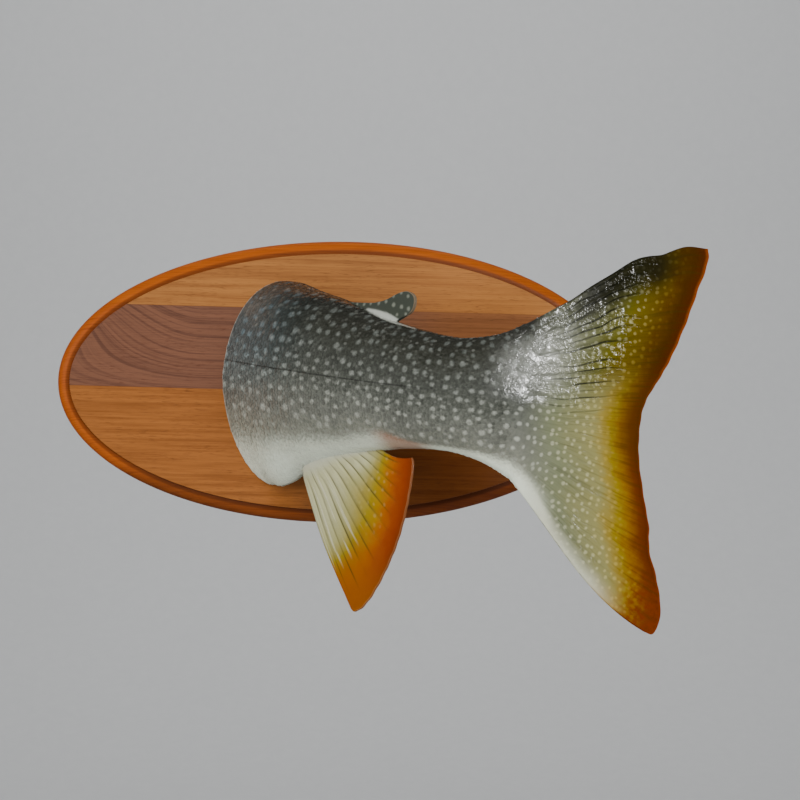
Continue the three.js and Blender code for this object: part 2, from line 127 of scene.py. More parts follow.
def linear(hex_colour: str) -> tuple[float, float, float, float]:
    """Turns an sRGB colour linear.

    Args:
        hex_colour: The colour, such as "#8a4f22".

    Returns:
        Red, green, blue and an alpha of 1.
    """
    channels = [int(hex_colour[i : i + 2], 16) / 255 for i in (1, 3, 5)]
    levels = [c / 12.92 if c <= 0.04045 else ((c + 0.055) / 1.055) ** 2.4 for c in channels]
    return (levels[0], levels[1], levels[2], 1.0)


# --- The fish's form ------------------------------------------------------------------------


@dataclass
class MiddleLine:
    """Middle line of the fish, which leaves the plaque at a slant and bends parallel to it."""

    leave_x: float = -38.0
    leave_z: float = 0.0
    face: float = 19.0  # the plaque's thickness
    tilt: float = 7.0  # degrees that the back leans to the tail's side
    turns: tuple = (
        (-60, 58), (0, 58), (60, 54), (110, 49), (150, 42), (185, 28), (215, 12), (250, 2), (360, -1),
    )  # degrees out from the plaque at lengths along the line

    def __post_init__(self) -> None:
        """Measures the line off once in millimetre steps."""
        self.turn = KeyCurve(list(self.turns))
        self.steps = np.arange(self.turns[0][0], self.turns[-1][0] + 1, 1.0)
        middles = np.radians(self.turn(self.steps[:-1] + 0.5))
        self.across = np.r_[0, np.cumsum(np.cos(middles))]
        self.depth = np.r_[0, np.cumsum(np.sin(middles))]
        start = int(np.argmin(np.abs(self.steps)))
        self.across -= self.across[start]
        self.depth -= self.depth[start]

    def place(self, along: Array, up: Array, out: Array) -> Array:
        """Points of the frame, in metres.

        Args:
            along: Lengths along the middle line.
            up: Heights from it.
            out: Distances from the mid-plane.

        Returns:
            One row of x, y, z for each point.
        """
        turn = np.radians(self.turn(along))
        across = np.interp(along, self.steps, self.across) - out * np.sin(turn)
        depth = np.interp(along, self.steps, self.depth) + out * np.cos(turn)
        lean = math.radians(self.tilt)
        x = self.leave_x + across * math.cos(lean) + up * math.sin(lean)
        z = self.leave_z - across * math.sin(lean) + up * math.cos(lean)
        return np.stack([x, -self.face - depth, z], axis=-1) * MM


@dataclass
class FanFin:
    """Sizes of a fin whose rays fan out from its base."""

    margin: tuple  # ray, along, up
    bow: float
    skew: float  # how much more the rays bow towards their tips
    root_length: float  # share of a ray over which the root thins
    root_half: float  # half thicknesses
    web_half: float
    rim_half: float
    rays: int
    edge: int = 0  # 1 on the back, -1 on the belly
    start: float = 0.0  # base along the body
    end: float = 0.0
    sink: float = 0.0  # how deep the root lies inside the body
    rear_bow: float = 0.0

    def __post_init__(self) -> None:
        """Makes the margin's curves."""
        self.margin_along = KeyCurve([(key[0], key[1]) for key in self.margin])
        self.margin_up = KeyCurve([(key[0], key[2]) for key in self.margin])

    def half(self, share: Array, root_half: float, fleshy: bool) -> Array:
        """Half thickness along a ray.

        Args:
            share: Share of the ray's length.
            root_half: Half thickness at the root.
            fleshy: Whether the root hollows out of the body.

        Returns:
            The half thickness at each share.
        """
        web = self.web_half + (self.rim_half - self.web_half) * share
        root = np.clip(share / self.root_length, 0, 1)
        fall = (1 - root) ** 1.8 if fleshy else (1 - root) ** 2 * (1 + root)
        return web + (root_half - web) * fall


def bowed(base: tuple, tip: tuple, share: Array, bow: Array, skew: Array) -> tuple:
    """Point on a ray that bows to one side of its chord.

    Args:
        base: Along and up of the ray's root.
        tip: Along and up of its end.
        share: Share of the ray's length.
        bow: Height of the bow.
        skew: How much more it bows towards the tip.

    Returns:
        Along, up and the chord's length.
    """
    along, up = tip[0] - base[0], tip[1] - base[1]
    length = np.hypot(along, up)
    hump = 4 * share * (1 - share) * (bow + skew * (2 * share - 1))
    return base[0] + along * share - up / length * hump, base[1] + up * share + along / length * hump, length


@dataclass
class FishForm:
    """Sections, fins and markings' coordinates of the fish."""

    line: MiddleLine = field(default_factory=MiddleLine)
    start: float = -58.0
    end: float = 226.0
    coat: float = 0.45  # depth of the scales over the skin
    coat_thins: float = 205.0  # from here on the skin comes up to the solids' surface
    root_gap: float = 0.3  # from the body's end to the tail fin's rays
    mean_ray: float = 95.0  # length of the tail fin's rays
    back: tuple = (
        (-60, 83), (0, 72.8), (12, 70.6), (23, 68.5), (33, 66.8), (42, 65.5), (60, 62.9), (90, 57.0),
        (122, 50.2), (150, 45.9), (182, 43.0), (202, 46.2), (215, 50.8), (226, 57.0),
    )
    belly: tuple = (
        (-60, 90), (0, 75.0), (12, 74.4), (23, 71.0), (33, 65.3), (42, 61.2), (60, 56), (90, 47.4),
        (122, 39.4), (150, 34.6), (182, 32.6), (202, 35.4), (215, 39.6), (226, 44.8),
    )
    flank: tuple = (
        (-60, 40.8), (0, 38.4), (12, 37.4), (23, 36.5), (33, 35.6), (42, 34.6), (60, 32.6), (90, 28.8),
        (122, 24.6), (150, 21.4), (182, 18.2), (202, 15.0), (215, 11.6), (226, 8.4),
    )
    widest: tuple = (
        (-60, 3.4), (0, 3.2), (12, 3.1), (23, 2.9), (33, 2.8), (42, 2.6), (60, 2.2), (90, 1.4), (122, 0.6),
        (150, 0), (226, 0),
    )
    upper: tuple = ((-60, 2.2), (33, 2.2), (42, 2.18), (60, 2.15), (90, 2.1), (226, 2.1))  # squareness
    lower: tuple = (
        (-60, 1.6), (0, 1.6), (12, 1.6), (23, 1.62), (33, 1.66), (42, 1.69), (60, 1.75), (90, 1.85),
        (122, 1.95), (150, 2.0), (182, 2.1), (226, 2.1),
    )
    pale_belly: tuple = (
        (-60, -0.46), (0, -0.46), (40, -0.54), (75, -0.61), (100, -0.69), (137, -0.65), (162, -0.87),
        (185, -0.87), (205, -0.80), (226, -0.68),
    )  # height at which the white belly begins
    lateral: tuple = ((-60, 13.0), (0, 9.8), (60, 8.0), (120, 6.8), (190, 6.4), (226, 6.0))
    tail: FanFin = field(default_factory=lambda: FanFin(
        margin=(
            (-1.0, 326.5, -133.6), (-0.965, 332.2, -134.0), (-0.92, 335.6, -121.5), (-0.86, 333.6, -110.0),
            (-0.76, 329.6, -96.5), (-0.66, 323.4, -81.0), (-0.52, 321.0, -65.0), (-0.38, 315.6, -47.0),
            (-0.2, 308.9, -20.5), (0.0, 307.2, 3.5), (0.14, 309.4, 17.0), (0.3, 315.8, 31.0),
            (0.46, 321.8, 46.0), (0.62, 328.2, 68.0), (0.78, 333.4, 91.5), (0.9, 337.2, 108.5),
            (1.0, 336.4, 118.2),
        ),
        bow=8.9, skew=6.5, root_length=0.25, root_half=8.4, web_half=1.45, rim_half=0.95, rays=19,
    ))
    lower_bow: tuple = (6.2, 5.2)  # bow and skew of the lower lobe
    flare: float = 9.0  # how far the upper lobe's tip swings out from the wall
    swells: tuple = (
        (0.26, 0.08, -1.1), (0.63, 0.09, 2.3), (0.775, 0.04, -0.8), (0.9, 0.07, 2.0),
    )  # share of the upper leading edge, reach and height
    tuck: float = 0.0016  # share that keeps the fine margin inside the coarser solids' box
    scallop: float = 0.004
    anal: FanFin = field(default_factory=lambda: FanFin(
        margin=(
            (0.0, 115.4, -147.6), (0.07, 120.6, -148.7), (0.17, 130.2, -141.0), (0.31, 141.2, -123.4),
            (0.47, 150.3, -101.0), (0.63, 155.0, -80.0), (0.79, 156.9, -60.0), (0.92, 157.0, -45.0),
            (1.0, 155.4, -39.8),
        ),
        bow=-5.6, skew=3.5, rear_bow=-4.3, root_length=0.35, root_half=9.5, web_half=1.35, rim_half=0.9,
        rays=12, edge=-1, start=40, end=120, sink=7,
    ))
    adipose: FanFin = field(default_factory=lambda: FanFin(
        margin=(
            (0.0, 73.0, 60.2), (0.14, 86.0, 60.5), (0.3, 100.5, 60.9), (0.44, 113.5, 63.7),
            (0.56, 125.5, 68.8), (0.66, 134.0, 70.3), (0.76, 140.4, 67.0), (0.85, 141.0, 60.4),
            (0.93, 137.2, 55.2), (1.0, 130.0, 53.2),
        ),
        bow=1.5, skew=0, root_length=0.6, root_half=4.4, web_half=2.0, rim_half=1.1, rays=0, edge=1,
        start=68, end=121, sink=5,
    ))

    def __post_init__(self) -> None:
        """Makes the sections' curves and the table of girths."""
        names = ("back", "belly", "flank", "widest", "upper", "lower", "lateral", "pale_belly")
        self.size = {name: KeyCurve(list(getattr(self, name))) for name in names}
        self.furrow_tables()
        self.table_along = np.linspace(-60, self.end, 96)
        self.table_height = -np.cos(np.linspace(0, np.pi, 161))
        grid_along, grid_height = np.meshgrid(self.table_along, self.table_height, indexing="ij")
        up, out = self.section(grid_along, grid_height)
        steps = np.hypot(np.diff(up, axis=1), np.diff(out, axis=1))
        girth = np.concatenate([np.zeros((len(up), 1)), np.cumsum(steps, axis=1)], axis=1)
        lateral = self.size["lateral"](self.table_along)
        zero = np.array([np.interp(lateral[i], up[i], girth[i]) for i in range(len(up))])
        self.table_girth = girth - zero[:, None]

    def section(self, along: Array, height: Array, grow: float = 0.0) -> tuple:
        """Up and out of the body's surface.

        Args:
            along: Lengths along the fish.
            height: From -1 at the belly to 1 at the back.
            grow: How far the surface is moved outwards.

        Returns:
            Up and out, with out positive.
        """
        names = ("back", "belly", "flank", "widest", "upper", "lower")
        size = {name: self.size[name](along) for name in names}
        above = height >= 0
        reach = np.where(above, size["back"] - size["widest"], size["belly"] + size["widest"]) + grow
        squareness = np.where(above, size["upper"], size["lower"])
        out = (size["flank"] + grow) * roundness(height, squareness)
        return size["widest"] + height * reach, out

    def skin_section(self, along: Array, height: Array) -> tuple:
        """Up and out of the skin, which lies inside the coat of scales."""
        return self.section(along, height, -self.coat * (1 - smoothstep(self.coat_thins, self.end, along)))

    def share_of_ray(self, along: Array) -> Array:
        """Rough share of the tail fin's rays at a length along the fish."""
        return np.clip((along - self.end - self.root_gap) / self.mean_ray, 0, 1)

    def base_line(self, fin: FanFin, before: float, after: float, count: int) -> Array:
        """Points of the frame along a fin's base.

        Args:
            fin: The fin.
            before: How far the line starts in front of the base.
            after: How far it ends behind the base.
            count: Number of points.

        Returns:
            One row for each point.
        """
        along = np.linspace(fin.start - before, fin.end + after, count)
        up = fin.edge * self.size["back" if fin.edge > 0 else "belly"](along)
        return self.line.place(along, up, np.zeros_like(along))

    def girth(self, along: Array, height: Array) -> Array:
        """Length round the section from the lateral line.

        Args:
            along: Lengths along the fish.
            height: From -1 at the belly to 1 at the back.

        Returns:
            The lengths, positive towards the back.
        """
        place = np.interp(along, self.table_along, np.arange(len(self.table_along)))
        row = np.clip(place.astype(int), 0, len(self.table_along) - 2)
        column_place = np.interp(height, self.table_height, np.arange(len(self.table_height)))
        column = np.clip(column_place.astype(int), 0, len(self.table_height) - 2)
        a, b = place - row, column_place - column
        low = self.table_girth[row, column] * (1 - b) + self.table_girth[row, column + 1] * b
        high = self.table_girth[row + 1, column] * (1 - b) + self.table_girth[row + 1, column + 1] * b
        return low * (1 - a) + high * a

    def height_at(self, along: float, girths: Array) -> Array:
        """Heights of given girths at one length along the fish.

        Args:
            along: The length along the fish.
            girths: Lengths round the section.

        Returns:
            Heights from -1 to 1.
        """
        place = float(np.interp(along, self.table_along, np.arange(len(self.table_along))))
        row = min(int(place), len(self.table_along) - 2)
        share = place - row
        girth = self.table_girth[row] * (1 - share) + self.table_girth[row + 1] * share
        return np.interp(girths, girth, self.table_height)

    def tail_point(self, share: Array, ray: Array) -> dict:
        """Place and half thickness on the tail fin's rays.

        Args:
            share: Share of the ray's length.
            ray: From -1 at the lower leading edge to 1 at the upper one.

        Returns:
            Along, up, middle of the thickness, half thickness, ray length, furrow and distance from
            the leading edge.
        """
        upper = ray >= 0
        root = {name: float(self.size[name](self.end)) for name in ("back", "belly", "flank")}
        reach = ray * np.where(upper, root["back"], root["belly"])
        base = (np.full_like(ray, self.end + self.root_gap), reach)
        tip = (self.tail.margin_along(ray), self.tail.margin_up(ray))
        bend = np.where(upper, 1, -1) * ray**2
        bow = np.where(upper, self.tail.bow, self.lower_bow[0]) * bend
        skew = np.where(upper, self.tail.skew, self.lower_bow[1]) * bend
        phase = (ray + 1) / 2 * self.tail.rays
        along, up, length = bowed(base, tip, self.scalloped(share, phase), bow, skew)
        squareness = 2.1 + 10 * np.clip(share / self.tail.root_length, 0, 1)
        half = self.tail.half(share, root["flank"], False) * roundness(ray, squareness)
        furrow = self.furrow(phase, share, self.tail_furrows)
        half = half * (1 - 0.30 * furrow)
        middle = self.flare * (np.clip(ray, 0, None) * share) ** 2
        return {
            "along": along, "up": up + self.leading_swell(ray, share), "out": middle, "half": half,
            "length": length, "furrow": furrow, "lead": (1 - np.abs(ray)) * (60 + 72 * share),
        }

    def scalloped(self, share: Array, phase: Array) -> Array:
        """Share of a ray's length, drawn in a little between the rays and nowhere past the margin."""
        return share * (1 - self.tuck - self.scallop * (0.5 + 0.5 * np.cos(2 * np.pi * phase)))

    def leading_swell(self, ray: Array, share: Array) -> Array:
        """How far the upper leading edge swells upwards, in mm."""
        parts = (high * np.exp(-(((share - middle) / reach) ** 2)) for middle, reach, high in self.swells)
        return sum(parts) * smoothstep(0.55, 1.0, ray)

    def furrow(self, phase: Array, share: Array, table: Array) -> Array:
        """Depth from 0 to 1 of the furrows between a fin's rays.

        Args:
            phase: Place across the rays, whole at each furrow.
            share: Share of the rays' length.
            table: Depth, first share and last share of each furrow.

        Returns:
            The depth.
        """
        index = np.clip(np.round(phase).astype(int), 0, len(table) - 1)
        depth, first, last = table[index, 0], table[index, 1], table[index, 2]
        off_centre = np.abs(phase - np.round(phase))
        line = np.exp(-((off_centre / 0.13) ** 2))
        shown = smoothstep(0, 0.12, share - first) * (1 - smoothstep(-0.28, 0, share - last))
        return line * depth * shown

    def furrow_tables(self) -> None:
        """Draws the furrows' depths: deep in the upper lobe, faint in the lower but for one crease."""
        random = np.random.default_rng(5)
        number = np.arange(self.tail.rays + 1)
        upper = smoothstep(9, 13, number)
        depth = (0.22 + 0.70 * upper) * random.uniform(0.55, 1.0, len(number))
        first = random.uniform(0.03, 0.12, len(number)) + 0.05 * (1 - upper)
        last = 0.72 + 0.16 * random.uniform(-1, 1, len(number)) - 0.10 * upper
        depth[5], first[5], last[5] = 0.85, 0.22, 0.80
        self.tail_furrows = np.stack([depth, first, last], -1)
        number = np.arange(self.anal.rays + 1)
        depth = random.uniform(0.55, 0.9, len(number))
        first = random.uniform(0.04, 0.12, len(number))
        last = random.uniform(0.78, 0.95, len(number)) - 0.12 * smoothstep(4, 0, number)
        self.anal_furrows = np.stack([depth, first, last], -1)

    def ridge_fin_point(self, fin: FanFin, share: Array, ray: Array) -> dict:
        """Place and half thickness on a fin that stands on the back or the belly.

        Args:
            fin: The fin.
            share: Share of the ray's length.
            ray: From 0 at the leading edge to 1 at the last ray.

        Returns:
            Along, up, half thickness, ray length, furrow and distance from the leading edge.
        """
        along0 = fin.start + (fin.end - fin.start) * ray
        surface = self.size["back" if fin.edge > 0 else "belly"](along0)
        tip = (fin.margin_along(ray), fin.margin_up(ray))
        front = (1 - ray) ** 2
        phase = ray * fin.rays
        along, up, length = bowed(
            (along0, fin.edge * (surface - fin.sink)), tip, self.scalloped(share, phase),
            fin.bow * front + fin.rear_bow * ray**4, fin.skew * front,
        )
        squareness = 2.1 + 5.9 * np.clip(share / fin.root_length, 0, 1)
        half = fin.half(share, fin.root_half, True) * roundness(2 * ray - 1, squareness)
        furrow = self.furrow(phase, share, self.anal_furrows) if fin.rays else np.zeros_like(ray)
        return {
            "along": along, "up": up, "half": half * (1 - 0.5 * furrow), "length": length, "furrow": furrow,
            "lead": ray * 60.0,
        }

    def level(self, along: Array, height: Array) -> Array:
        """Height for the colours: 1 at the back, 0 where the white belly begins, -1 at its lowest."""
        start = self.size["pale_belly"](np.clip(along, -60, self.end))
        return np.where(height > start, (height - start) / (1 - start), (height - start) / (1 + start))

    def tail_tone(self, share: Array) -> Array:
        """How far the body's colours have given way to the tail fin's along its rays."""
        return smoothstep(0.0, 0.34, share)

    def painted_root_highlight(self, points: Array) -> dict[str, Array]:
        """Share of the painted highlight, a pale streak that runs below the adipose fin's root.

        Args:
            points: Points of the frame.

        Returns:
            The attribute's rows under its name.
        """
        along = np.linspace(96.0, 146.0, 90)
        up = self.size["back"](along) + 0.7 * smoothstep(127, 117, along)
        width = 0.3 + 1.6 * smoothstep(96, 117, along) * smoothstep(146, 121, along)
        gap = gap_to(self.line.place(along, up, np.full_like(along, 3.2)), points, width)
        streak = 1 - smoothstep(0.2, 1.5, gap)
        return {"root": np.stack([streak, 0 * streak, 0 * streak], -1)}

    def spot_map(self, along: Array, girth: Array, level: Array) -> tuple:
        """Where the spots' pattern is read: closer low down and on the tail.

        Args:
            along: Lengths along the fish.
            girth: Lengths round the section.
            level: Heights for the colours.

        Returns:
            Two places in the pattern and the spots' size.
        """
        tail = smoothstep(205, 262, along)
        low = smoothstep(0.62, 0.2, level) * (1 - tail)
        rear = np.clip((along - 30) / 160, 0, 1)
        x = 0.62 * along + 0.38 * (160 * (rear**3 - rear**4 / 2) + np.clip(along - 190, 0, None))
        x = x + 0.45 * np.clip(along - 233, 0, None)
        y = girth * (0.74 + 0.16 * smoothstep(20, 190, along) + 0.52 * tail) - 6.0 * low
        return x, y, 1.08 - 0.06 * smoothstep(60, 190, along) + 0.04 * tail


# --- Blender helpers ------------------------------------------------------------------------


def deselect() -> None:
    """Leaves object mode's selection empty."""
    if bpy.context.mode != "OBJECT":
        bpy.ops.object.mode_set(mode="OBJECT")
    bpy.ops.object.select_all(action="DESELECT")


def activate(piece: Object) -> None:
    """Makes one object the only selected and active one.

    Args:
        piece: The object.
    """
    deselect()
    piece.select_set(True)
    bpy.context.view_layer.objects.active = piece


def grid_sheet(name: str, columns: int, rows: int) -> tuple[Object, Array, Array]:
    """Flat grid ready to be laid over a form.

    Args:
        name: The object's name.
        columns: Faces along its first way.
        rows: Faces along its second way.

    Returns:
        The object, and each vertex's place along both ways from 0 to 1.
    """
    deselect()
    bpy.ops.mesh.primitive_grid_add(x_subdivisions=columns, y_subdivisions=rows, size=1)
    piece = bpy.context.object
    piece.name = piece.data.name = name
    flat = np.empty(len(piece.data.vertices) * 3)
    piece.data.vertices.foreach_get("co", flat)
    flat = flat.reshape(-1, 3)
    return piece, flat[:, 0] + 0.5, flat[:, 1] + 0.5


def set_points(mesh: Mesh, points: Array) -> None:
    """Moves every vertex of a mesh."""
    mesh.vertices.foreach_set("co", points.astype(np.float32).ravel())
    mesh.update()


def get_points(mesh: Mesh) -> Array:
    """Reads a mesh's vertices.

    Args:
        mesh: The mesh.

    Returns:
        One row for each vertex.
    """
    flat = np.empty(len(mesh.vertices) * 3, np.float32)
    mesh.vertices.foreach_get("co", flat)
    return flat.reshape(-1, 3).astype(float)


def write_attributes(mesh: Mesh, values: dict[str, Array]) -> None:
    """Stores three numbers a vertex under each name.

    Args:
        mesh: The mesh.
        values: Rows for the vertices under the attributes' names.
    """
    for name, rows in values.items():
        layer = mesh.attributes.get(name) or mesh.attributes.new(name, "FLOAT_VECTOR", "POINT")
        layer.data.foreach_set("vector", rows.astype(np.float32).ravel())


def merge_and_face_out(piece: Object, distance: float = 2e-6) -> None:
    """Closes a piece's seams and turns its faces outwards.

    Args:
        piece: The piece.
        distance: How close two vertices are merged, in metres.
    """
    activate(piece)
    bpy.ops.object.mode_set(mode="EDIT")
    bpy.ops.mesh.select_all(action="SELECT")
    bpy.ops.mesh.remove_doubles(threshold=distance)
    bpy.ops.mesh.normals_make_consistent(inside=False)
    bpy.ops.object.mode_set(mode="OBJECT")


def apply_boolean(piece: Object, other: Object, operation: str) -> None:
    """Joins a second solid to a piece, or cuts it out, and removes the second.

    Args:
        piece: The piece.
        other: The second solid.
        operation: The boolean modifier's operation.
    """
    activate(piece)
    modifier = piece.modifiers.new("boolean", "BOOLEAN")
    modifier.operation = operation
    modifier.solver = "EXACT"
    modifier.object = other
    bpy.ops.object.modifier_apply(modifier=modifier.name)
    bpy.data.objects.remove(other, do_unlink=True)


def finish(piece: Object, material: Material, angle: float) -> None:
    """Gives a piece its material, and smooth shading except over edges sharper than an angle in degrees.

    Args:
        piece: The piece.
        material: Its only material.
        angle: The angle in degrees.
    """
    piece.data.materials.clear()
    piece.data.materials.append(material)
    activate(piece)
    bpy.ops.object.shade_smooth_by_angle(angle=math.radians(angle))


@dataclass(frozen=True)
class Signal:
    """Number, vector or colour that runs through a material's nodes, with arithmetic of its own."""

    tree: NodeTree
    socket: NodeSocket

    def into(self, kind: str, inputs: dict | None = None, **settings: object) -> "Signal":
        """Leads this into the first socket of a new node, and gives that node's output."""
        return add(self.tree, kind, {0: self, **(inputs or {})}, **settings)

    def maths(self, operation: str, *others: object, **settings: bool) -> "Signal":
        """Result of one arithmetic step on this number and others."""
        return self.into("ShaderNodeMath", dict(enumerate(others, 1)), operation=operation, **settings)

    def __add__(self, other: object) -> "Signal":
        """Sum of this and another number."""
        return self.maths("ADD", other)

    def __sub__(self, other: object) -> "Signal":
        """Difference of this and another number."""
        return self.maths("SUBTRACT", other)

    def __mul__(self, other: object) -> "Signal":
        """Product of this and another number."""
        return self.maths("MULTIPLY", other)

    def __truediv__(self, other: object) -> "Signal":
        """Quotient of this and another number."""
        return self.maths("DIVIDE", other)

    def __abs__(self) -> "Signal":
        """This number without its sign."""
        return self.maths("ABSOLUTE")

    def most(self, other: object) -> "Signal":
        """The larger of this and another number."""
        return self.maths("MAXIMUM", other)

    def fade(self, low: float, high: float) -> "Signal":
        """Smooth share from 0 where this number is at low to 1 where it is at high."""
        inputs = {1: low, 2: high, 3: 0.0, 4: 1.0}
        return self.into("ShaderNodeMapRange", inputs, interpolation_type="SMOOTHSTEP")

    def band(self, middle: float, reach: float) -> "Signal":
        """Share that is 1 at a middle value and falls to 0 at a reach to both sides of it."""
        return abs(self - middle).fade(reach, 0.25 * reach)

    def sibling(self, output: object) -> "Signal":
        """Another output of the node that this comes from."""
        return Signal(self.tree, self.socket.node.outputs[output])

    def parts(self) -> list["Signal"]:
        """The three numbers of this vector."""
        split = self.into("ShaderNodeSeparateXYZ")
        return [split.sibling(number) for number in range(3)]


def connect(node: Node, inputs: dict) -> None:
    """Sets a node's input sockets or links them to signals.

    Args:
        node: The node.
        inputs: Value, hex colour or signal for each socket, by name or number.
    """
    for key, value in inputs.items():
        if isinstance(value, Signal):
            value.tree.links.new(value.socket, node.inputs[key])
        else:
            node.inputs[key].default_value = linear(value) if isinstance(value, str) else value


def add(
    tree: NodeTree, kind: str, inputs: dict | None = None, ramp: tuple = (), output: object = 0,
    **settings: object,
) -> Signal:
    """Adds a node to a tree.

    Args:
        tree: The node tree.
        kind: The node's type name.
        inputs: Value, hex colour or signal for input sockets, by name or number.
        ramp: Place and hex colour of a colour ramp's stops.
        output: Name or number of the output that is wanted.
        settings: The node's own settings.

    Returns:
        The wanted output.
    """
    node = tree.nodes.new(kind)
    for name, value in settings.items():
        setattr(node, name, value)
    connect(node, inputs or {})
    for index, (place, colour) in enumerate(ramp):
        stops = node.color_ramp.elements
        stop = stops[index] if index < 2 else stops.new(place)
        stop.position, stop.color = place, linear(colour)
    return Signal(tree, node.outputs[output])


class Blend(Enum):
    """Ways of laying one colour over another."""

    OVER = "MIX"
    DARKEN = "MULTIPLY"
    LIGHTEN = "ADD"


def mix(share: Signal, under: object, over: object, way: Blend = Blend.OVER) -> Signal:
    """Colour that is laid over another one by a share."""
    inputs = {0: share, 6: under, 7: over}
    return add(share.tree, "ShaderNodeMix", inputs, output=2, data_type="RGBA", blend_type=way.value)


def noise(first: Signal, second: Signal, detail: float, roughness: float = 0.5) -> Signal:
    """Noise over two numbers."""
    place = first.into("ShaderNodeCombineXYZ", {1: second})
    return place.into("ShaderNodeTexNoise", {"Scale": 1.0, "Detail": detail, "Roughness": roughness})


def new_material(name: str) -> tuple[Material, NodeTree, Node]:
    """Material with an empty shader, its node tree and the shader.

    Args:
        name: The real material's name.

    Returns:
        The material, the tree and the shader.
    """
    material = bpy.data.materials.new(name)
    material.use_nodes = True
    return material, material.node_tree, material.node_tree.nodes["Principled BSDF"]


# --- Finishes -------------------------------------------------------------------------------


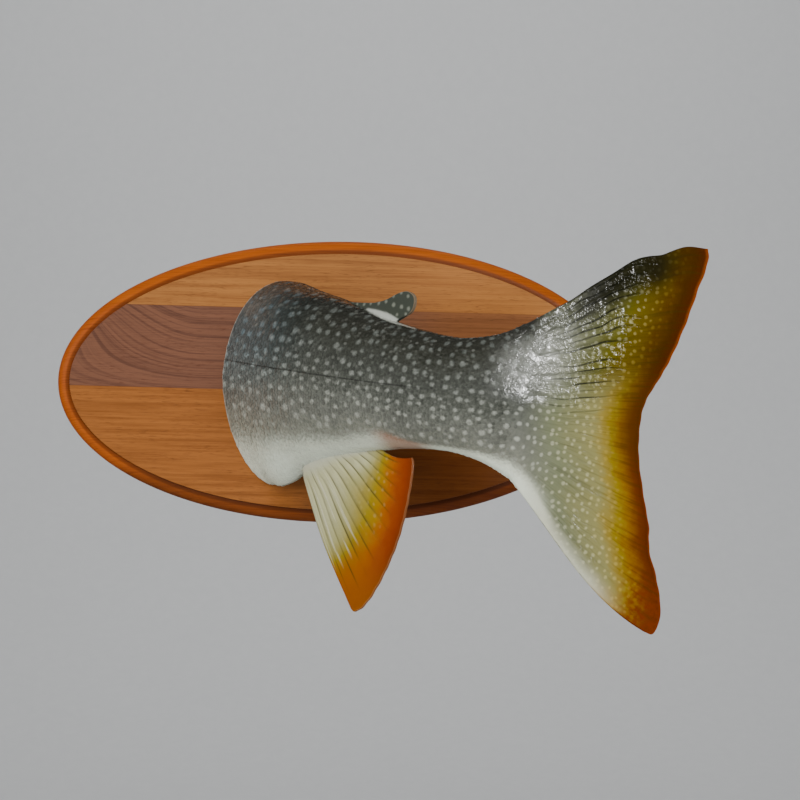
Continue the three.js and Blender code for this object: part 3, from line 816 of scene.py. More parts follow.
@dataclass(frozen=True)
class LacqueredTroutSkin:
    """Preserved trout skin under clear lacquer.

    The skin is airbrushed over its own faded markings and then flooded with gloss, so the eye sees
    soft-edged spots below a hard wet-looking coat that breaks into small glints over the scales. In
    each method "m" holds the signals of the markings that the pieces carry. Lengths are in mm.
    """

    spot_pitch: float = 7.4  # from spot to spot
    spot_radius: tuple = (0.13, 0.22)  # smallest and largest, in pitches
    spot_wobble: float = 3.4  # size of the waves that make the spots uneven
    grain: float = 2.2  # mottling from scale to scale
    creases: float = 17.0  # fine creases from the tail's middle ray to its edge
    striae: float = 64.0  # finest lines from the tail's middle ray to its edge
    anal_rays: float = 12.0
    lacquer_relief: float = 0.001  # m
    lacquer_index: float = 1.5
    ink: str = "#12130f"
    ground: tuple = (
        (0.0, "#d2d8c6"), (0.16, "#d2d8c6"), (0.29, "#c0c4b2"), (0.40, "#979a8c"), (0.49, "#7f8073"),
        (0.57, "#707168"), (0.66, "#64665e"), (0.72, "#54564f"), (0.80, "#444640"), (0.90, "#363730"),
        (0.97, "#2a2a24"),
    )  # from the belly to the back
    spots: tuple = ((0.5, "#a2a498"), (0.62, "#a2a498"), (0.76, "#888b83"), (0.95, "#5c605b"))
    tail_upper: tuple = (
        (0.0, "#7e3c06"), (0.011, "#6a2f02"), (0.024, "#421c00"), (0.08, "#3c2100"), (0.16, "#482e00"),
        (0.25, "#524000"), (0.34, "#564800"), (0.44, "#565214"), (0.60, "#5a5b38"), (0.85, "#65674f"),
    )  # from the margin inwards
    tail_lower: tuple = (
        (0.0, "#7a3802"), (0.012, "#4e1e00"), (0.06, "#5c2900"), (0.10, "#6c4000"), (0.145, "#795502"),
        (0.19, "#7d6812"), (0.25, "#847230"), (0.32, "#807b4c"), (0.60, "#6b6f54"), (0.90, "#717462"),
    )
    tail_spots: tuple = ((0.08, "#8c6204"), (0.22, "#a8923c"), (0.40, "#b4b184"), (0.75, "#adae98"))
    tail_reach: float = 100.0  # distance from the margin that the tail's tables span
    anal: tuple = (
        (0.0, "#6a2800"), (0.05, "#7a2c00"), (0.13, "#863800"), (0.22, "#964f00"), (0.32, "#946c00"),
        (0.43, "#8c7816"), (0.56, "#928440"), (0.74, "#9e9964"), (0.95, "#b0ae86"),
    )
    anal_reach: float = 84.0

    def build(self) -> Material:
        """Builds the material.

        Returns:
            The material, which reads the attributes that the skin and scales carry.
        """
        material, tree, shader = new_material("lacquered_trout_skin")
        m = self.read_markings(tree)
        colour = mix(m.tail, self.body_colour(m), self.tail_colour(m))
        colour = mix(m.anal, colour, self.anal_colour(m))
        # painted sheen: a pale grey is laid over the tail's root where the lacquer shines
        painted_sheen = m.along.band(236, 32) * m.ray.band(0.52, 0.42)
        colour = self.scale_grain(m, mix(painted_sheen * 0.30, colour, "#b4b6ac"))
        cut_edge = m.board.fade(0.9, 0.25)
        connect(shader, {"Base Color": mix(cut_edge * 0.7, colour, "#a59f92")})
        self.gloss(m, shader)
        return material

    def read_markings(self, tree: NodeTree) -> SimpleNamespace:
        """Reads the pieces' attributes and works out the patterns that several methods share.

        Args:
            tree: The material's node tree.

        Returns:
            Signals under their names.
        """
        signals = {}
        for name, columns in (
            ("place", ("along", "girth", "side")), ("tone", ("level", "rim", "chance")),
            ("fin", ("edge", "lead", "share")), ("rays", ("ray", "furrow", "board")),
            ("kind", ("tail", "anal", "adipose")), ("spot", ("spot_x", "spot_y", "spot_size")),
            ("root", ("streak",)),
        ):
            signals[name] = add(tree, "ShaderNodeAttribute", output="Vector", attribute_name=name)
            signals.update(zip(columns, signals[name].parts()))
        m = SimpleNamespace(**signals)
        m.spots = self.spot_mask(m)
        m.crease = self.crease_lines(m)
        m.stria = noise(m.ray * self.striae, m.share * 3.0, 2.0)
        m.pooled = self.pooled_lacquer(m)
        return m

    def cloud(self, m: SimpleNamespace, size: float, detail: float) -> Signal:
        """Noise over the skin with patches of a size in mm."""
        return m.place.into("ShaderNodeTexNoise", {"Scale": 1 / size, "Detail": detail})

    def body_colour(self, m: SimpleNamespace) -> Signal:
        """Countershading from the dark back to the white belly, mottled a little, with its spots, painted
        shade on the stalk's lower flank and painted light on the upper flank near the plaque.

        Args:
            m: The markings.

        Returns:
            The body's colour.
        """
        along, level = m.along, m.level
        mottle = self.cloud(m, 16, 3.0) * 0.10 + self.cloud(m, self.grain, 1.0) * 0.20 - 0.15
        straight = level * 0.5 + 0.5
        ground = (straight + mottle).into("ShaderNodeValToRGB", ramp=self.ground)
        spot = straight.into("ShaderNodeValToRGB", ramp=self.spots)
        slate = along.fade(80, -10) * level.fade(0, 0.75)
        ground = mix(slate, ground, "#b4deff", Blend.DARKEN)
        # painted shade: the stalk's lower flank, and further back its rear towards the tail, are darkened
        flank = along.band(182, 62) * level.band(0.15, 0.55) * 0.16
        rear = along.fade(188, 216) * level.band(0.22, 0.62) * 0.20
        ground = mix(flank.most(rear), ground, "#2f312b")
        # painted light: the upper flank near the plaque is lightened
        painted_light_near_plaque = along.fade(50, -20) * level.band(0.62, 0.50)
        ground = mix(painted_light_near_plaque * 0.45, ground, "#6c706d")
        shown = m.spots * level.fade(-0.08, 0.10) * 0.82
        colour = mix(shown, ground, mix(slate, spot, "#c4e4ff", Blend.DARKEN))
        flush = along.band(152, 27) * level.fade(0.06, -0.35)
        return self.adipose_colour(m, mix(flush * 0.62, colour, "#8c4412"))

    def adipose_colour(self, m: SimpleNamespace, colour: Signal) -> Signal:
        """Adipose fin in a fatty grey-green with cream dots and a pale rim, and a painted highlight as a
        pale streak below its root.

        Args:
            m: The markings.
            colour: The body's colour.

        Returns:
            The colour with the fin's laid over it.
        """
        fatty = mix(m.spots * 0.62, "#3b3f37", "#85887b")
        colour = mix(m.adipose * m.share.fade(0.02, 0.30), colour, fatty)
        colour = mix(m.adipose * m.edge.fade(1.0, 0.3) * 0.35, colour, "#ab8f70")
        # painted highlight: a pale streak below the fin's root
        return mix(m.streak * 0.68, colour, "#c2c5ba")

    def spot_mask(self, m: SimpleNamespace) -> Signal:
        """Round soft-edged spots of uneven size.

        Args:
            m: The markings.

        Returns:
            Share of spot at each point.
        """
        flat = m.spot_x.into("ShaderNodeCombineXYZ", {1: m.spot_y})
        wobble = flat.into("ShaderNodeTexNoise", {"Scale": 1 / self.spot_wobble, "Detail": 1.0}, output=1)
        moved = wobble.into("ShaderNodeVectorMath", {1: (1.3, 1.3, 0.0), 2: flat}, operation="MULTIPLY_ADD")
        pattern = {"Scale": 1 / self.spot_pitch, "Randomness": 0.6}
        distance = moved.into("ShaderNodeTexVoronoi", pattern, output="Distance", voronoi_dimensions="2D")
        chance = distance.sibling("Color").parts()[0]
        low, high = self.spot_radius
        return ((chance * (high - low) + low) * m.spot_size - distance).fade(-0.13, 0.11)

    def pooled_lacquer(self, m: SimpleNamespace) -> Signal:
        """Patches round the tail's root and upper lobe where the lacquer lies thick and wrinkled.

        Args:
            m: The markings.

        Returns:
            Share of wrinkled lacquer.
        """
        root = m.along.band(240, 36) * m.ray.fade(0.08, 0.30)
        lobe = m.along.fade(240, 262) * m.edge.fade(22, 40) * m.ray.fade(-0.6, 0.4) * 0.30
        blister = m.along.band(279, 15) * m.ray.band(0.62, 0.32) * 0.9
        return self.cloud(m, 13, 2.0).fade(0.42, 0.54) * root.most(lobe.most(blister))

    def crease_lines(self, m: SimpleNamespace) -> Signal:
        """Thin broken creases that fan out from the tail's root, most of them in the upper lobe.

        Args:
            m: The markings.

        Returns:
            Share of crease.
        """
        phase = m.ray * self.creases + self.cloud(m, 30, 1.0) * 2.4 - 1.2
        centre = abs(phase.maths("FRACT") - 0.5)
        broken = noise(phase.maths("FLOOR") * 7.3, m.share * 2.2, 1.0).fade(0.39, 0.52)
        upper = m.ray.fade(-0.1, 0.2) * 0.85 + 0.15
        shown = m.share.fade(0.02, 0.08) * m.share.fade(0.78, 0.50)
        return centre.fade(0.15, 0.03) * broken * upper * shown * m.tail

    def scale_grain(self, m: SimpleNamespace, colour: Signal) -> Signal:
        """Lateral line, dark rims of the scales, and scales that are darker or lighter than the rest.

        Args:
            m: The markings.
            colour: The fish's colour.

        Returns:
            The colour with the grain laid over it.
        """
        line = abs(m.girth).fade(0.75, 0.25) * m.along.fade(195, 140)
        dark = m.level.fade(-0.2, 0.3) * 0.28 + 0.04
        for share in (line * 0.55, m.rim * dark, m.chance.fade(0, -2.2) * dark):
            colour = mix(share, colour, self.ink)
        return mix(m.chance.fade(0.2, 2.6) * 0.10, colour, "#c4c6bc")

    def tail_colour(self, m: SimpleNamespace) -> Signal:
        """Tail fin: olive field, ochre and brown bands to the margin, a dark and a pale front edge, and
        painted shade in its furrows and creases.

        Args:
            m: The markings.

        Returns:
            The tail fin's colour.
        """
        edge, lead, ray, share = m.edge, m.lead, m.ray, m.share
        wander = self.cloud(m, 9, 3.0) * 10.0 - 5.0
        inner = (wander + m.stria * 9.0 - 4.5) * edge.fade(1, 14)
        stretch = ray.fade(-0.3, -0.8) * -0.26 + ray.band(0, 0.5) * 0.05 + 1.0
        reach = (edge * stretch + inner) / self.tail_reach
        upper = reach.into("ShaderNodeValToRGB", ramp=self.tail_upper)
        lower = reach.into("ShaderNodeValToRGB", ramp=self.tail_lower)
        spot = reach.into("ShaderNodeValToRGB", ramp=self.tail_spots)
        colour = mix(ray.fade(-0.02, 0.48), lower, upper)
        fork = ray.band(0.02, 0.42) * edge.fade(26, 6)
        tip = ray.fade(-0.70, -0.95) * edge.fade(38, 14) * self.cloud(m, 4, 3.0).fade(0.25, 0.65)
        dotted = m.spots * edge.fade(6, 40) * (ray.fade(0, 0.4) * -0.14 + 0.54)
        dark = (lead + wander * 0.6).fade(33, 11) * share.fade(0.12, 0.40)
        dark = dark * ray.fade(0.3, 0.6) * share.fade(0.98, 0.74)
        # the furrow and crease entries are painted shade in the grooves between the rays and in the creases
        for amount, paint in (
            (fork * 0.45, "#3a2a06"), (tip, "#662800"), (m.stria.fade(0.50, 0.30) * 0.28, "#2e3014"),
            (dotted, spot), (m.furrow * 0.35, "#2c2d1c"), (dark * 0.94, "#141309"),
            (m.crease * 0.86, "#14150b"),
        ):
            colour = mix(amount, colour, paint)
        pale_lead = lead + share.fade(0.35, 0) * -15.0 + wander * 0.25
        pale = pale_lead.fade(9, 0.5) * edge.fade(16, 48) * ray.fade(-0.4, -0.6)
        return mix(pale, colour, mix(edge.fade(58, 24), "#b6b6a0", "#a5885c"))

    def anal_colour(self, m: SimpleNamespace) -> Signal:
        """Anal fin: ivory rays at the front, yellow and orange towards the rear edge, with painted shade in
        the furrows, painted glints on the front rays and a painted highlight along the margin.

        Args:
            m: The markings.

        Returns:
            The anal fin's colour.
        """
        edge, lead, share = m.edge, m.lead, m.share
        front = lead.fade(30, 6)
        squeeze = front * -0.25 + lead.fade(26, 48) * share.fade(0.60, 0.20) * 0.75 + 1.0
        wander = (self.cloud(m, 8, 3.0) * 9.0 - 4.5) * edge.fade(1, 8)
        steep = front * edge.fade(34, 56) * 24.0
        reach = (edge * squeeze + wander + steep) / self.anal_reach
        colour = reach.into("ShaderNodeValToRGB", ramp=self.anal)
        tip = lead.fade(30, 8) * edge.fade(44, 28)
        from_crest = abs((m.ray * self.anal_rays).maths("FRACT") - 0.5)
        drawn = share.fade(0.04, 0.12) * edge.fade(8, 26)
        line = from_crest.fade(0.40, 0.49) * drawn * noise(m.ray * 9.0, share * 3.0, 1.0).fade(0.30, 0.62)
        glint = (from_crest + m.stria).fade(0.61, 0.50) * drawn * lead.fade(26, 14) * edge.fade(30, 46)
        dots = m.spots * edge.fade(12, 26) * lead.fade(18, 34) * share.fade(0.1, 0.3)
        root = lead.fade(28, 58) * -0.10 + share
        # the furrow and line entries are painted shade in the furrows; glint is painted glints on the front
        # rays; the entry at the margin's edge is a painted highlight
        for amount, paint in (
            (tip * 0.7, "#8c4e00"), (m.furrow * 0.30, "#5e572c"), (line * 0.80, "#3d3614"),
            (glint * 0.55, "#ccc8ac"), (dots * 0.20, "#c0b478"), (edge.fade(0.8, 0.2) * 0.25, "#b98a58"),
            (root.fade(0.14, 0.02), "#b9baa6"),
        ):
            colour = mix(amount, colour, paint)
        return colour

    def gloss(self, m: SimpleNamespace, shader: Node) -> None:
        """Sets the lacquer, its unevenness and the fin rays' fine relief.

        Args:
            m: The markings.
            shader: The material's shader.
        """
        uneven, run = self.cloud(m, 1.5, 1.0), self.cloud(m, 6.5, 2.0)
        calm = m.edge.fade(70, 25)
        height = uneven * (m.pooled + calm * -0.15 + 0.20) + run * (calm * -0.55 + 0.7)
        lines = m.furrow * 0.4 + m.crease * 0.5 - m.stria * m.edge.fade(10, 40) * 0.07
        height = height - lines * m.tail.most(m.anal)
        relief = {"Height": height, "Strength": 1.0, "Distance": self.lacquer_relief}
        bump = add(height.tree, "ShaderNodeBump", relief)
        hazy = m.along.band(238, 44) * m.ray.fade(0.02, 0.24)
        hazy = hazy.maths("MULTIPLY", run * 1.5 + 0.1, use_clamp=True)
        thin = m.along.band(226, 90) * m.ray.fade(0.22, 0.02)
        thin = thin.most(m.edge.fade(50, 18) * m.tail * 0.6)
        connect(shader, {
            "Normal": bump, "Coat Normal": bump,
            "Roughness": hazy * -0.22 + uneven * 0.2 + 0.5,
            "Specular IOR Level": hazy * 0.85 + thin.most(m.tail) * -0.1 + 0.1,
            "IOR": self.lacquer_index, "Coat IOR": self.lacquer_index, "Coat Roughness": 0.1,
            "Coat Weight": thin * -0.9 + 0.9,
        })


@dataclass(frozen=True)
class LacqueredWalnutStrips:
    """Solid walnut glued up from three strips, routed and lacquered.

    Each strip has its own tone, so the eye sees straight glue lines, growth lines that sweep up at one
    end of the reddish middle strip, short dark pores along the grain, and a deeper-coloured moulding
    where the stain and lacquer pool. Painted light and shade lie over the wood: lighter and more orange
    towards the right, a painted shadow of the fish on the bottom strip, and painted shade on the moulding
    towards the back and the bottom and in the step below the face. Lengths are in mm.
    """

    face: float = 19.0  # the face's distance from the wall
    seam_high: float = 52.0  # above the plaque's centre
    seam_low: float = -7.3
    seam_half: float = 0.12
    slant: float = -1.5  # degrees that the strips run down to the right
    fibre: tuple = (34.0, 0.75)  # along and across the grain, as in the next five
    figure: tuple = (120.0, 3.2)
    growth: tuple = (190.0, 1.9)
    growth_tone: tuple = (190.0, 8.0)
    pore: tuple = (8.0, 0.5)
    pore_patch: tuple = (45.0, 9.0)
    sweep: tuple = (98.0, 38.0, 0.12, 0.62)  # left of the centre, bend, least and added slope
    top: tuple = ("#9c6633", "#744520")
    middle: tuple = ("#6f4936", "#462c23")
    bottom: tuple = ("#945a28", "#6b3c16")
    moulding: tuple = ("#a34c02", "#823602")
    painted_light_right: str = "#4e2f0e"  # painted light, added towards the right to make the wood lighter and more orange there
    pore_colour: str = "#42200f"

    def build(self) -> Material:
        """Builds the material.

        Returns:
            The material, in object coordinates.
        """
        material, tree, shader = new_material("lacquered_walnut_strips")
        metres = add(tree, "ShaderNodeTexCoord", output="Object")
        to_mm = {"Scale": (1 / MM,) * 3, "Rotation": (0, math.radians(self.slant), 0)}
        x, y, z = metres.into("ShaderNodeMapping", to_mm, vector_type="POINT").parts()
        high = z.fade(self.seam_high - self.seam_half, self.seam_high + self.seam_half)
        low = z.fade(self.seam_low + self.seam_half, self.seam_low - self.seam_half)
        straight = z + y * 0.4
        fibre = self.streaks(x, straight, self.fibre, 4.0)
        broad = self.streaks(x, straight, self.figure, 4.0)
        colour = self.strip(self.middle, self.growth_lines(x, z), fibre)
        colour = mix(high, colour, self.strip(self.top, broad, fibre))
        colour = mix(low, colour, self.strip(self.bottom, broad, fibre))
        # painted light: towards the right the wood is made lighter and more orange
        right = x.fade(10, 90)
        colour = mix(right * (low * -1.0 + 1.0), colour, self.painted_light_right, Blend.LIGHTEN)
        colour = mix(right * (high * -0.8 + 0.8), colour, "#fff2ce", Blend.DARKEN)
        # painted shadow of the fish: the bottom strip darkens towards the right
        colour = mix(x.fade(-25, 35) * low * 0.30, colour, "#4a1204")
        patchy = self.streaks(x, straight, self.pore_patch, 2.0).fade(0.35, 0.60)
        pores = self.streaks(x, straight, self.pore, 1.0).fade(0.57, 0.70) * (patchy * 0.7 + 0.3)
        seams = abs(z - self.seam_high).fade(0.3, 0.1).most(abs(z - self.seam_low).fade(0.3, 0.1))
        for share in (pores * 0.5, seams * 0.35):
            colour = mix(share, colour, self.pore_colour)
        colour = self.moulded_edge(metres.parts()[1] * (-1 / MM), z, fibre, colour)
        relief = {"Height": fibre * 0.4 - pores, "Strength": 0.5, "Distance": 0.0001}
        connect(shader, {
            "Base Color": colour, "Normal": add(tree, "ShaderNodeBump", relief),
            "Roughness": fibre * 0.15 + 0.55, "Specular IOR Level": 0.12, "Coat Weight": 0.25,
            "Coat Roughness": 0.3,
        })
        return material

    def moulded_edge(self, depth: Signal, z: Signal, fibre: Signal, colour: Signal) -> Signal:
        """Deeper colour of the routed edge, with painted shade towards the back and the bottom, and a
        painted shadow in the step below the face.

        Args:
            depth: Distance from the wall.
            z: Height above the centre.
            fibre: Fine streaks along the grain.
            colour: The face's colour.

        Returns:
            The colour with the edge's laid over it.
        """
        face = self.face
        edge = mix(fibre.fade(0.35, 0.75), *self.moulding)
        # painted shade on the moulding, towards the back and towards the bottom
        for share in (depth.fade(face - 7.5, face - 14), z.fade(-56, -78)):
            edge = mix(share * 0.60, edge, "#3c1a06")
        front = depth.fade(face - 0.5, face - 0.9) * (depth.fade(1.2, 0.4) * -0.8 + 1.0)
        colour = mix(front * 0.88, colour, edge)
        # painted shadow in the step below the face
        step = depth.fade(face - 0.7, face - 1.0) * depth.fade(face - 1.9, face - 1.4)
        return mix(step * 0.7, colour, "#2e1406")

    def growth_lines(self, x: Signal, z: Signal) -> Signal:
        """Dark growth lines on a broader change of tone, which sweep up to the left.

        Args:
            x: Place along the strips.
            z: Height above the centre.

        Returns:
            The figure's darkness.
        """
        left, bend, least, more = self.sweep
        past = ((x + left) * -1.0).most(0.0)
        rise = (past * past + bend**2).maths("SQRT") - bend
        swept = z - rise * (z.fade(-12, 50) * more + least)
        line = self.streaks(x, swept, self.growth, 2.0).fade(0.40, 0.68)
        return line * 0.26 + self.streaks(x, swept, self.growth_tone, 2.0) * 0.5 + 0.12

    def streaks(self, x: Signal, height: Signal, size: tuple, detail: float) -> Signal:
        """Noise drawn out along the grain; its size is in mm along and across."""
        return noise(x / size[0], height / size[1], detail, 0.6)

    def strip(self, tones: tuple, figure: Signal, fibre: Signal) -> Signal:
        """One strip's colour from its light and dark tones."""
        return mix((fibre * 0.7 + figure * 1.3 - 0.65).fade(0, 0.85), *tones)


@dataclass(frozen=True)
class ZincPlatedSteel:
    """Pressed sheet steel with bright zinc: a greyish metal with a faint rolled streak and dull patches."""

    colour: str = "#b9b7b0"
    dull: str = "#8f8c84"
    rolled: tuple = (120, 2500, 2500)  # streaks in one metre, along and across the rolling

    def build(self) -> Material:
        """Builds the material.

        Returns:
            The material, in object coordinates.
        """
        material, tree, shader = new_material("zinc_plated_steel")
        metres = add(tree, "ShaderNodeTexCoord", output="Object")
        streaks = metres.into("ShaderNodeMapping", {"Scale": self.rolled}, vector_type="POINT")
        streak = streaks.into("ShaderNodeTexNoise", {"Scale": 1.0, "Detail": 2.0})
        patch = metres.into("ShaderNodeTexNoise", {"Scale": 400.0, "Detail": 2.0})
        relief = {"Height": streak, "Strength": 0.2, "Distance": 0.00005}
        connect(shader, {
            "Base Color": mix(patch, self.colour, self.dull), "Roughness": streak * 0.25 + 0.28,
            "Normal": add(tree, "ShaderNodeBump", relief), "Metallic": 1.0,
        })
        return material


# --- Plaque ---------------------------------------------------------------------------------


@dataclass
class Plaque:
    """Oval wall plaque with a stepped quarter-round edge, and its sawtooth hanger."""

    width: float = 406.4
    height: float = 203.2
    thickness: float = 19.0
    ovolo: float = 8.0
    step: float = 1.5
    back_chamfer: float = 1.0
    face_rounding: float = 0.35
    rim: float = 0.5  # strip of faces inside each flat's edge
    segments: int = 256
    recess: tuple = (54.0, 4.0, 18.0)  # width, depth, height
    recess_height: float = 62.0
    recess_corner: float = 4.0
    wood: LacqueredWalnutStrips = field(default_factory=LacqueredWalnutStrips)
    steel: ZincPlatedSteel = field(default_factory=ZincPlatedSteel)

    def build(self) -> Object:
        """Builds and dresses the plaque, and dresses the hanger.

        Returns:
            The plaque.
        """
        piece = self.turned_oval()
        self.cut_recess(piece)
        finish(piece, self.wood.build(), 28)
        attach(piece, "root")
        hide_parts("plaque")
        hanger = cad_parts["hanger"]
        hanger.data.materials.clear()
        hanger.data.materials.append(self.steel.build())
        return piece

    def turned_oval(self) -> Object:
        """Oval slab with its moulded front edge and chamfered back.

        Returns:
            The slab, upright against the wall.
        """
        deselect()
        bpy.ops.mesh.primitive_circle_add(vertices=self.segments, radius=1, fill_type="NGON")
        piece = bpy.context.object
        piece.name = piece.data.name = "oval_plaque"
        ledge = (self.thickness - self.step) * MM
        bpy.ops.object.mode_set(mode="EDIT")
        bpy.ops.mesh.select_all(action="SELECT")
        bpy.ops.transform.resize(value=(self.width / 2 * MM, self.height / 2 * MM, 1))
        bpy.ops.mesh.extrude_region_move(TRANSFORM_OT_translate={"value": (0, 0, ledge)})
        bpy.ops.mesh.bevel(offset=self.ovolo * MM, segments=10, profile=0.5, affect="EDGES")
        self.select_level(piece, ledge)
        bpy.ops.mesh.inset(thickness=self.step * MM)
        bpy.ops.mesh.extrude_region_move(TRANSFORM_OT_translate={"value": (0, 0, self.step * MM)})
        for level, rounding, steps in (
            (self.thickness * MM, self.face_rounding, 3), (0.0, self.back_chamfer, 2),
        ):
            self.select_level(piece, level)
            bpy.ops.mesh.bevel(offset=rounding * MM, segments=steps, profile=0.5, affect="EDGES")
            self.select_level(piece, level)
            bpy.ops.mesh.inset(thickness=self.rim * MM)
        bpy.ops.mesh.select_all(action="SELECT")
        bpy.ops.mesh.normals_make_consistent(inside=False)
        bpy.ops.object.mode_set(mode="OBJECT")
        piece.data.transform(Matrix.Rotation(math.radians(90), 4, "X"))
        return piece

    def select_level(self, piece: Object, level: float) -> None:
        """Selects the flat face that lies at a level, and nothing else.

        Args:
            piece: The slab, in edit mode.
            level: The face's height in metres.
        """
        bpy.ops.mesh.select_mode(type="FACE")
        mesh = bmesh.from_edit_mesh(piece.data)
        for face in mesh.faces:
            flat = all(abs(vertex.co.z - level) < 1e-6 for vertex in face.verts)
            face.select_set(flat and len(face.verts) > 8)
        mesh.select_flush_mode()
        bmesh.update_edit_mesh(piece.data)

    def cut_recess(self, piece: Object) -> None:
        """Cuts the hanger's round-cornered recess into the back.

        Args:
            piece: The slab.
        """
        deselect()
        bpy.ops.mesh.primitive_cube_add(size=1)
        cutter = bpy.context.object
        width, depth, height = (value * MM for value in self.recess)
        bpy.ops.object.mode_set(mode="EDIT")
        bpy.ops.mesh.select_all(action="SELECT")
        bpy.ops.transform.resize(value=(width, 2 * depth, height))
        bpy.ops.transform.translate(value=(0, 0, self.recess_height * MM))
        bpy.ops.mesh.select_all(action="DESELECT")
        mesh = bmesh.from_edit_mesh(cutter.data)
        for corner in mesh.edges:
            corner.select_set(abs(corner.verts[0].co.y - corner.verts[1].co.y) > depth)
        bmesh.update_edit_mesh(cutter.data)
        bpy.ops.mesh.bevel(offset=self.recess_corner * MM, segments=6, profile=0.5, affect="EDGES")
        bpy.ops.object.mode_set(mode="OBJECT")
        apply_boolean(piece, cutter, "DIFFERENCE")


# --- Fish -----------------------------------------------------------------------------------


def gather_marks(**columns: tuple) -> dict[str, Array]:
    """Stacks the numbers that the fish's material reads at every point, three under each name.

    place is along, girth and side; tone is level, rim of a scale and the scale's own chance; fin is the
    distance from the margin, that from the leading edge and the share of the ray; rays is ray, furrow
    and distance from the plaque; kind is tail, anal and adipose; spot is where the spots are read and
    their size.

    Args:
        columns: Three arrays or numbers under each name.

    Returns:
        One row for each point under each name.
    """
    shape = np.broadcast_shapes(*(np.shape(part) for parts in columns.values() for part in parts))
    spread = {name: [np.broadcast_to(part, shape) for part in parts] for name, parts in columns.items()}
    return {name: np.stack(parts, -1).reshape(-1, 3) for name, parts in spread.items()}


@dataclass
class FishSkin:
    """One skin over body and fins, lying inside the coat of scales."""

    form: FishForm
    around: int = 400
    body_rows: int = 120
    tail_rows: int = 86
    fin_around: int = 220
    fin_rows: int = 78
    adipose_around: int = 96
    adipose_rows: int = 26
    seam_smoothing: int = 16
    side_shift: float = 40.0  # mm, keeps the two sides' patterns apart
    far_from_margin: float = 200.0  # mm, stands for the distance from the tail's margin on the body

    def build(self, material: Material) -> Object:
        """Builds the skin.

        Args:
            material: The fish's finish.

        Returns:
            The skin.
        """
        body, body_marks = self.body_and_tail()
        anal, anal_marks = self.ridge_fin("anal", self.form.anal, self.fin_around, self.fin_rows)
        adipose, adipose_marks = self.ridge_fin(
            "adipose", self.form.adipose, self.adipose_around, self.adipose_rows
        )
        sheets = ((body, body_marks), (anal, anal_marks), (adipose, adipose_marks))
        sources = [(get_points(piece.data), marks) for piece, marks in sheets]
        for piece, _ in sheets:
            merge_and_face_out(piece)
        self.trim_at_plaque(body)
        for fin in (anal, adipose):
            apply_boolean(body, fin, "UNION")
        merge_and_face_out(body, 1e-6)
        self.smooth_seams(body)
        self.carry_markings(body, sources)
        body.name = body.data.name = "fish_skin"
        finish(body, material, 50)
        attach(body, "root")
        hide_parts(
            "trunk", "tail_stalk", "adipose_fin", "anal_fin", "tail_fin_upper_lobe",
            "tail_fin_lower_lobe",
        )
        return body

    def body_and_tail(self) -> tuple[Object, dict]:
        """Body from inside the plaque to the tail fin's margin, as one closed sheet.

        Returns:
            The piece and its markings.
        """
        form = self.form
        rows = self.body_rows + self.tail_rows + 2
        piece, u, v = grid_sheet("body", self.around, rows)
        row = np.round(v * rows).astype(int)
        side = np.where(u < 0.5, 1.0, -1.0)
        height = -np.cos(2 * np.pi * u)
        straight = 4 * np.minimum(u, 1 - u) - 1
        body_share = np.clip((row - 1) / self.body_rows, 0, 1)
        along = form.start + (form.end - form.start) * body_share
        share = np.clip((row - 1 - self.body_rows) / self.tail_rows, 0, 1) ** 1.1
        ray = height + (straight - height) * 0.85 * smoothstep(0, 0.3, share)
        up, out = form.skin_section(along, height)
        tail = form.tail_point(share, ray)
        on_tail = row > 1 + self.body_rows
        closing = (row == 0) | (row == rows)
        up = np.where(on_tail, tail["up"], up)
        out = np.where(on_tail, tail["half"], out)
        middle = np.where(on_tail, tail["out"], 0.0)
        along_all = np.where(on_tail, tail["along"], along)
        out = np.where(closing, 0.0, out)
        set_points(piece.data, form.line.place(along_all, up, middle + side * out))
        girth = form.girth(along, height)
        lateral = float(form.size["lateral"](form.end))
        girth = np.where(on_tail, girth + (up - lateral - girth) * smoothstep(0, 0.15, share), girth)
        level = form.level(along, np.where(on_tail, ray, height))
        board = -get_points(piece.data)[:, 1] / MM - form.line.face
        marks = gather_marks(
            place=(along_all, girth, side * self.side_shift),
            tone=(level, 0, 0),
            fin=(
                np.where(on_tail, (1 - share) * tail["length"], self.far_from_margin), tail["lead"],
                np.where(on_tail, share, 0),
            ),
            rays=(ray, np.where(on_tail, tail["furrow"], 0), board),
            kind=(np.where(on_tail, form.tail_tone(share), 0), 0, 0),
            spot=form.spot_map(along_all, girth, level),
        )
        return piece, marks

    def ridge_fin(self, name: str, fin: FanFin, around: int, rows: int) -> tuple[Object, dict]:
        """Fin on the mid-plane, as one closed sheet.

        Args:
            name: Its name.
            fin: Its sizes.
            around: Faces round it.
            rows: Faces from root to margin.

        Returns:
            The piece and its markings.
        """
        form = self.form
        rows_all = rows + 2
        piece, u, v = grid_sheet(name, around, rows_all)
        row = np.round(v * rows_all).astype(int)
        side = np.where(u < 0.5, 1.0, -1.0)
        straight = 2 * np.minimum(u, 1 - u)
        ray = straight + (0.5 - 0.5 * np.cos(np.pi * straight) - straight) * 0.3
        share = np.clip((row - 1) / rows, 0, 1)
        point = form.ridge_fin_point(fin, share, ray)
        out = np.where((row == 0) | (row == rows_all), 0.0, point["half"])
        out = np.where((u < 1e-6) | (u > 1 - 1e-6) | (np.abs(u - 0.5) < 1e-6), 0.0, out)
        set_points(piece.data, form.line.place(point["along"], point["up"], side * out))
        board = -get_points(piece.data)[:, 1] / MM - form.line.face
        girth = point["up"] - form.size["lateral"](point["along"])
        marks = gather_marks(
            place=(point["along"], girth, side * self.side_shift),
            tone=(fin.edge, 0, 0),
            fin=((1 - share) * point["length"], point["lead"], share),
            rays=(ray, point["furrow"], board),
            kind=(0, fin.edge < 0, fin.edge > 0),
            spot=(point["along"], girth, 0.8),
        )
        return piece, marks

